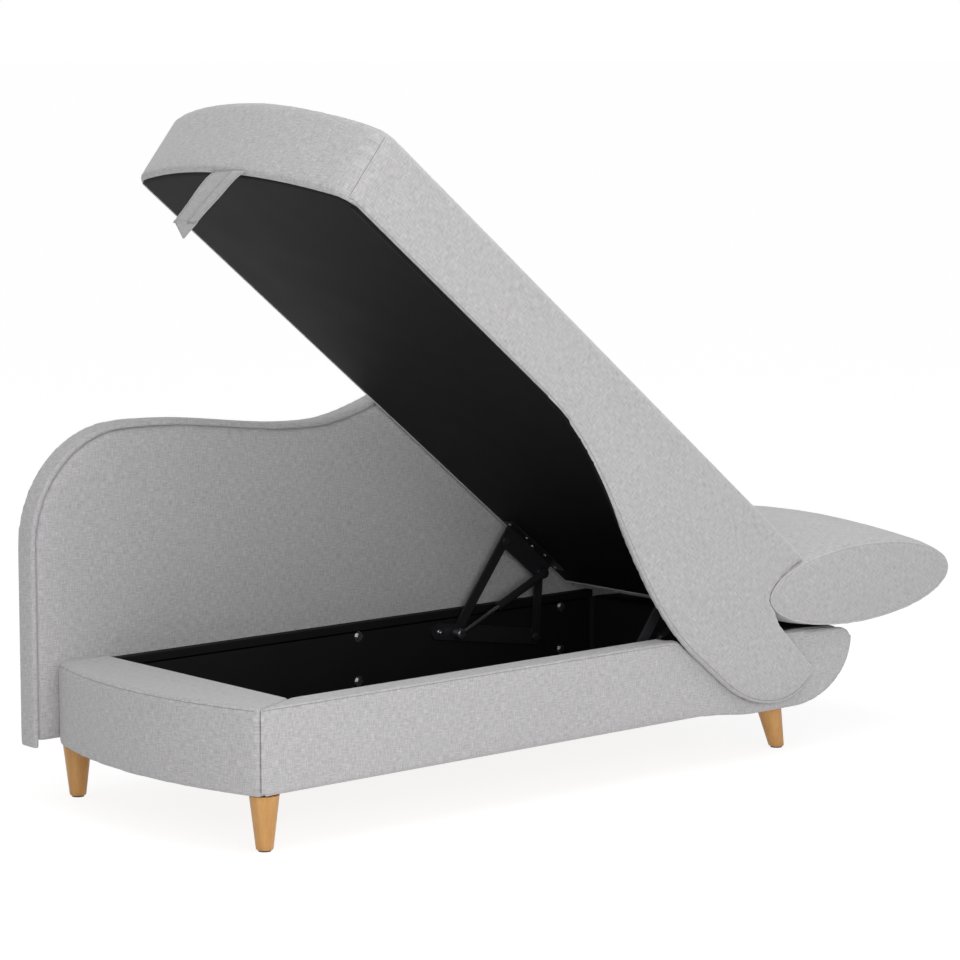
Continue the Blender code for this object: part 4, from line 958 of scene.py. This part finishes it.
# Pieces of the box and the backrest

def dip_at(z):
    """Where the near side's edge behind the lifted cheek meets a given height."""
    to_base = BASE.inverted() @ LID
    edge = wave((CHEEK_START, CHEEK_LAP), (CHEEK_DEEP, CHEEK_LAP - CHEEK_DEPTH), 40)
    curve = [to_base @ Vector((point.x, 0.0, point.y)) for point in edge]
    curve.append(curve[-1] + to_base.to_3x3() @ Vector((1.0, 0.0, 0.0)))
    curve.reverse()
    return float(np.interp(z, [point.z for point in curve], [point.x for point in curve]))


def make_box_covers():
    """Foam and cloth on the near side, the curved foot end and the head end."""
    def held_near(points):
        return (points[:, 1] > 0.030) | (points[:, 2] < LEG_HEIGHT + 0.004)

    model = copies(BASE, "near_side_cover")
    for vertex in model.verts:
        x, z = vertex.co.x, vertex.co.z
        if z < RIM - 0.030 and z > LEG_HEIGHT + STRIP - 0.006 and abs(x - dip_at(z)) < 0.008:
            vertex.co.x += DIP_FILL
            vertex.co.z += DIP_FILL * (2 if z < LEG_HEIGHT + STRIP + 0.004 else 1)
        elif abs(z - LEG_HEIGHT - STRIP) < 0.006 and abs(x - DIP_HEAD_FOOT) < 0.010:
            vertex.co.z += DIP_FILL * 2
    near = swell("near_side_cloth", model, *NEAR_PADDING, held_near)
    low = wave((SAG_START, LEG_HEIGHT), (SAG_FULL, LEG_HEIGHT - HEAD_SAG), 20)
    low += arc((BASE_LENGTH - HEAD_ROUND_X, LEG_HEIGHT + HEAD_ROUND_Z), HEAD_ROUND_X, HEAD_ROUND_Z + HEAD_SAG,
               -90, 0, 60)
    trim(near, fine([Vector((point.x, 0.0, point.y)) for point in low], 0.002), 0.006, 0.030)
    rim = [Vector((x, 0.0, RIM - SEAM_IN)) for x in (0.012, dip_at(RIM) - 0.030)]
    sewn_line("near_rim_seam", near, rim, BASE, "base", 0.001, 0.010)
    settle(near, BASE, "base", CLOTH, "near_side_cover")

    def held_foot(points):
        inside = points[:, 0] > foot_edge(0.3) + 0.110
        return inside | (points[:, 2] < LEG_HEIGHT + 0.004) | (points[:, 1] > BASE_DEPTH - 0.006)

    foot = swell("foot_end_cloth", copies(BASE, "foot_end_cover"), *FOOT_PADDING, held_foot)
    across = spread(0.012, BASE_DEPTH - 0.008, 40)
    edge = [Vector((foot_edge(y) + LID_OVERHANG / 2, y, RIM - SEAM_IN)) for y in across]
    sewn_line("foot_rim_seam", foot, edge, BASE, "base", 0.001, 0.010)
    settle(foot, BASE, "base", CLOTH, "foot_end_cover")

    model = copies(BASE, "head_end_cover")
    start = min(vertex.co.x for vertex in model.verts)
    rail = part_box("head_rail")[0].x - BASE.translation.x
    for vertex in model.verts:
        if vertex.co.x < start + 0.001:
            vertex.co.x = rail

    def held_head(points):
        return points[:, 2] < LEG_HEIGHT + 0.004

    head = swell("head_end_cloth", model, *HEAD_PADDING, held_head)
    # Black cloth laid over the head end's top from the rail. Near the rail it is the lining turned over;
    # further out it is painted shade, a dark sheet standing for the shadowed gap under the headrest roll.
    columns = spread(0.036, BASE_DEPTH - 0.012, 24)
    over = [Vector((rail + 0.003 + along, y, RIM)) for along in spread(0.0, 0.152, 19) for y in columns]
    laid = on_surface(head, over, 0.0009)
    width = len(columns)
    rows = [laid[first:first + width] for first in range(0, len(laid), width)]
    item = thin_cloth("head_rail_cloth", rows)
    settle(item, BASE, "base", BLACK_LINING, weave=False)
    settle(head, BASE, "base", CLOTH, "head_end_cover", "head_rail")


def make_backrest():
    """The backrest's padded panel, and the band round its edge."""
    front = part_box("backrest_front_pad")[0].y - BASE.translation.y
    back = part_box("backrest_back_cover")[1].y - BASE.translation.y
    model = copies(BASE, "backrest_back_cover")
    for vertex in model.verts:
        if vertex.co.y < back - 0.006:
            vertex.co.y = front
    pad = swell("backrest_cloth", model, *BACK_PADDING, lambda points: points[:, 1] > front + 0.014)
    settle(pad, BASE, "base", CLOTH, "backrest_front_pad", "backrest_board", "backrest_back_cover")
    model = copies(BASE, "backrest_band")
    band = swell("backrest_band_cloth", model, *BAND_PADDING,
                 lambda points: points[:, 2] < LEG_HEIGHT + 0.003)
    settle(band, BASE, "base", CLOTH, "backrest_band")


def rounded_ring(low, high, radius, inset, z, steps=8):
    """A level ring round a rectangle with rounded corners, drawn in by an inset."""
    ring = []
    reach = max(radius - inset, 0.001)
    corners = ((high.x, high.y, 0), (low.x, high.y, 90), (low.x, low.y, 180), (high.x, low.y, 270))
    for x, y, start in corners:
        out_x = 1 if x == high.x else -1
        out_y = 1 if y == high.y else -1
        centre = (x - out_x * (inset + reach), y - out_y * (inset + reach))
        ring += [Vector((p.x, p.y, z)) for p in arc(centre, reach, reach, start, start + 90, steps)]
    return ring


def make_lining():
    """The black lining: a tray with rounded corners, and its cloth turned over the far rail."""
    low = BASE.inverted() @ LINING_LOW
    high = BASE.inverted() @ LINING_HIGH
    top = RAIL_TOP
    floor = low.z + LINING
    levels = [(0.0, low.z), (0.0, top - 0.001), (0.0008, top), (LINING - 0.0008, top), (LINING, top - 0.001)]
    levels += [(LINING, floor + 0.010), (LINING + 0.003, floor + 0.003), (LINING + 0.010, floor)]
    model = bmesh.new()
    rings = []
    for level in levels:
        rings.append([model.verts.new(point) for point in rounded_ring(low, high, LINING_CORNER, *level)])
    for outer, inner in zip(rings, rings[1:]):
        for step in range(len(outer)):
            after = (step + 1) % len(outer)
            model.faces.new((outer[step], outer[after], inner[after], inner[step]))
    model.faces.new(rings[0])
    model.faces.new(rings[-1])
    item = add_item("storage_lining_cloth", mesh_of(model, "storage_lining_cloth"))
    settle(item, BASE, "base", BLACK_LINING, "storage_lining", weave=False)
    inner_face = high.y - LINING
    outer_face = high.y + 0.0002
    end = BASE_DEPTH - 0.0006
    over = FAR_RAIL_TOP + FLAP
    under = FAR_RAIL_TOP + 0.0001
    outline = [(inner_face, top - 0.004), (inner_face, FAR_RAIL_TOP - 0.001), (inner_face + 0.001, over),
               (end, over), (end, under), (outer_face, under), (outer_face, top - 0.004)]
    model = bmesh.new()
    bar(model, *[[(x, y, z) for y, z in outline] for x in (low.x + 0.001, high.x - 0.001)])
    flap = add_item("far_rail_cloth", mesh_of(model, "far_rail_cloth"))
    settle(flap, BASE, "base", BLACK_LINING, weave=False)
    flap.data.shade_flat()
    make_dip_lining()


def make_dip_lining():
    """Black cloth over the near rail where the near side dips for the lid's cheek."""
    foot, top = LEG_HEIGHT + STRIP + 0.0005, RAIL_TOP + FLAP
    face = [(dip_at(z) + 0.003, z) for z in spread(top, foot, 16)]
    face += [(DIP_HEAD_FOOT - 0.003, foot), (DIP_HEAD_TOP - 0.003, top)]
    start = dip_at(top) + 0.003
    end = DECK_END + 0.020
    turned_over = [(start, top), (start, RAIL_TOP + 0.0001), (end, RAIL_TOP + 0.0001), (end, top)]
    model = bmesh.new()
    for outline, inner in ((face, RAIL_NEAR - 0.0001), (turned_over, LINING_NEAR + 0.001)):
        bar(model, *[[(x, y, z) for x, z in outline] for y in (RAIL_NEAR - FLAP, inner)])
    item = add_item("near_rail_cloth", mesh_of(model, "near_rail_cloth"))
    settle(item, BASE, "base", BLACK_LINING, weave=False)
    item.data.shade_flat()


def make_legs():
    """Turned wooden legs with eased edges. The head pair leans out."""
    for end in ("foot", "head"):
        for side in ("near", "far"):
            name = f"leg_{end}_{side}"
            low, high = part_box(name)
            glide_low, glide_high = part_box(f"glide_{end}_{side}")
            foot = (glide_low + glide_high) / 2
            plate_low, plate_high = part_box(f"leg_plate_{end}_{side}")
            crown = (plate_low + plate_high) / 2
            profile = [(0.0, high.z), (LEG_TOP_RADIUS - 0.0008, high.z), (LEG_TOP_RADIUS, high.z - 0.0008)]
            taper = spread(0.02, 0.98, 12)
            for share in taper:
                z = high.z + (low.z - high.z) * share
                profile.append((LEG_TOP_RADIUS + (LEG_FOOT_RADIUS - LEG_TOP_RADIUS) * share, z))
            for angle in (15, 45, 75):
                drop = LEG_EDGE * (1 - math.sin(math.radians(90 - angle)))
                rise = LEG_EDGE * (1 - math.sin(math.radians(angle)))
                profile.append((LEG_FOOT_RADIUS - drop, low.z + rise))
            profile += [(LEG_FOOT_RADIUS - LEG_EDGE, low.z), (0.0, low.z)]
            item = add_item(f"{name}_turned", turned(profile, LEG_STEPS, name))
            lean = Matrix.Identity(4)
            lean[0][2] = (crown.x - foot.x) / (high.z - low.z)
            lean[0][3] = foot.x - low.z * lean[0][2]
            lean[1][3] = foot.y
            settle(item, lean, "base", LEG_WOOD, name, weave=False)


def make_screws():
    """Screws through the lid brackets' flanges, and the bolt in each box bracket's tail."""
    pattern = screw_pattern(0.0042, 0.0024)
    spots = []
    for side in ("near", "far"):
        low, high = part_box(f"lid_bracket_{side}")
        middle = (low.y + high.y) / 2 - BASE.translation.y
        places = [(C_S - 0.022, 0.004), (C_S + 0.030, -0.006), (C_S + 0.065, 0.006), (D_S - 0.030, -0.006),
                  (D_S + 0.022, 0.004)]
        spots += [Vector((s, middle + out, -0.0034)) for s, out in places]
    item = grown("lid_bracket_screws", SPOTS, [spots], Piece=pattern, Facing=(0.0, 0.0, -1.0), Finish=ZINC)
    settle(item, LID, "lid", ZINC, weave=False)
    pattern = screw_pattern(0.0062, 0.0036)
    for side, way in (("near", 1.0), ("far", -1.0)):
        low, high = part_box(f"box_bracket_{side}")
        face = high.y if way > 0 else low.y
        spot = Vector((low.x + 0.020, face, HINGES["front_arm_hinge"].z + 0.006))
        item = grown(f"box_bracket_bolt_{side}", SPOTS, [[spot]], Piece=pattern, Facing=(0.0, way, 0.0),
                     Finish=ZINC)
        settle(item, Matrix.Identity(4), "base", ZINC, weave=False)


# Stage, light and camera

def make_stage():
    """A pale floor that keeps the shadow, and an even white room."""
    finish = Finish("floor")
    rays = [finish.node("ShaderNodeLightPath", output=name) for name in ("Is Camera Ray", "Is Glossy Ray")]
    lit = finish.node("ShaderNodeBsdfDiffuse", inputs={"Color": (0.86, 0.86, 0.86, 1.0)})
    white = finish.node("ShaderNodeEmission", inputs={"Color": (1.0, 1.0, 1.0, 1.0), "Strength": 1.2})
    share = rays[0].maths("MAXIMUM", rays[1]) * 0.72
    shown = finish.node("ShaderNodeMixShader", inputs=(share, lit, white))
    finish.tree.links.new(shown.socket, finish.output.inputs["Surface"])
    model = bmesh.new()
    bmesh.ops.create_grid(model, x_segments=1, y_segments=1, size=300.0)
    floor = add_item("floor", mesh_of(model, "floor"), finish.material)
    world = bpy.data.worlds.new("room")
    SCENE.world = world
    world.use_nodes = True
    tree = world.node_tree
    tree.nodes.clear()
    path = tree.nodes.new("ShaderNodeLightPath")
    shown = tree.nodes.new("ShaderNodeBackground")
    shown.inputs["Color"].default_value = (1.0, 1.0, 1.0, 1.0)
    lit = tree.nodes.new("ShaderNodeBackground")
    lit.inputs["Color"].default_value = (1.0, 1.0, 1.0, 1.0)
    lit.inputs["Strength"].default_value = 0.53
    mix = tree.nodes.new("ShaderNodeMixShader")
    output = tree.nodes.new("ShaderNodeOutputWorld")
    tree.links.new(path.outputs["Is Camera Ray"], mix.inputs[0])
    tree.links.new(lit.outputs[0], mix.inputs[1])
    tree.links.new(shown.outputs[0], mix.inputs[2])
    tree.links.new(mix.outputs[0], output.inputs["Surface"])


def add_light(name, place, aim, size, power):
    light = bpy.data.lights.new(name, "AREA")
    light.size = size
    light.energy = power
    item = bpy.data.objects.new(name, light)
    SCENE.collection.objects.link(item)
    item.location = place
    item.rotation_euler = (Vector(aim) - Vector(place)).to_track_quat("-Z", "Y").to_euler()


def make_camera():
    camera = bpy.data.cameras.new("camera")
    camera.lens = LENS
    camera.sensor_width = 36.0
    camera.clip_end = 1000.0
    item = bpy.data.objects.new("camera", camera)
    SCENE.collection.objects.link(item)
    corner = BASE @ Vector((0.0, 0.0, LEG_HEIGHT))
    item.location = corner + Vector(CAMERA_FROM_CORNER)
    item.rotation_euler = Vector(CAMERA_AIM).to_track_quat("-Z", "Y").to_euler()
    SCENE.camera = item


finish_solids()
make_seat()
make_roll()
make_underlining()
make_strap()
make_box_covers()
make_backrest()
make_lining()
make_legs()
make_screws()
make_stage()
add_light("top_light", (0.0, -0.8, 4.4), (0.0, 0.0, 0.4), 3.5, 60.0)
add_light("side_light", (-2.0, -3.6, 0.9), (-0.3, 0.0, 0.4), 3.0, 72.0)
make_camera()
SCENE.view_settings.view_transform = "Standard"
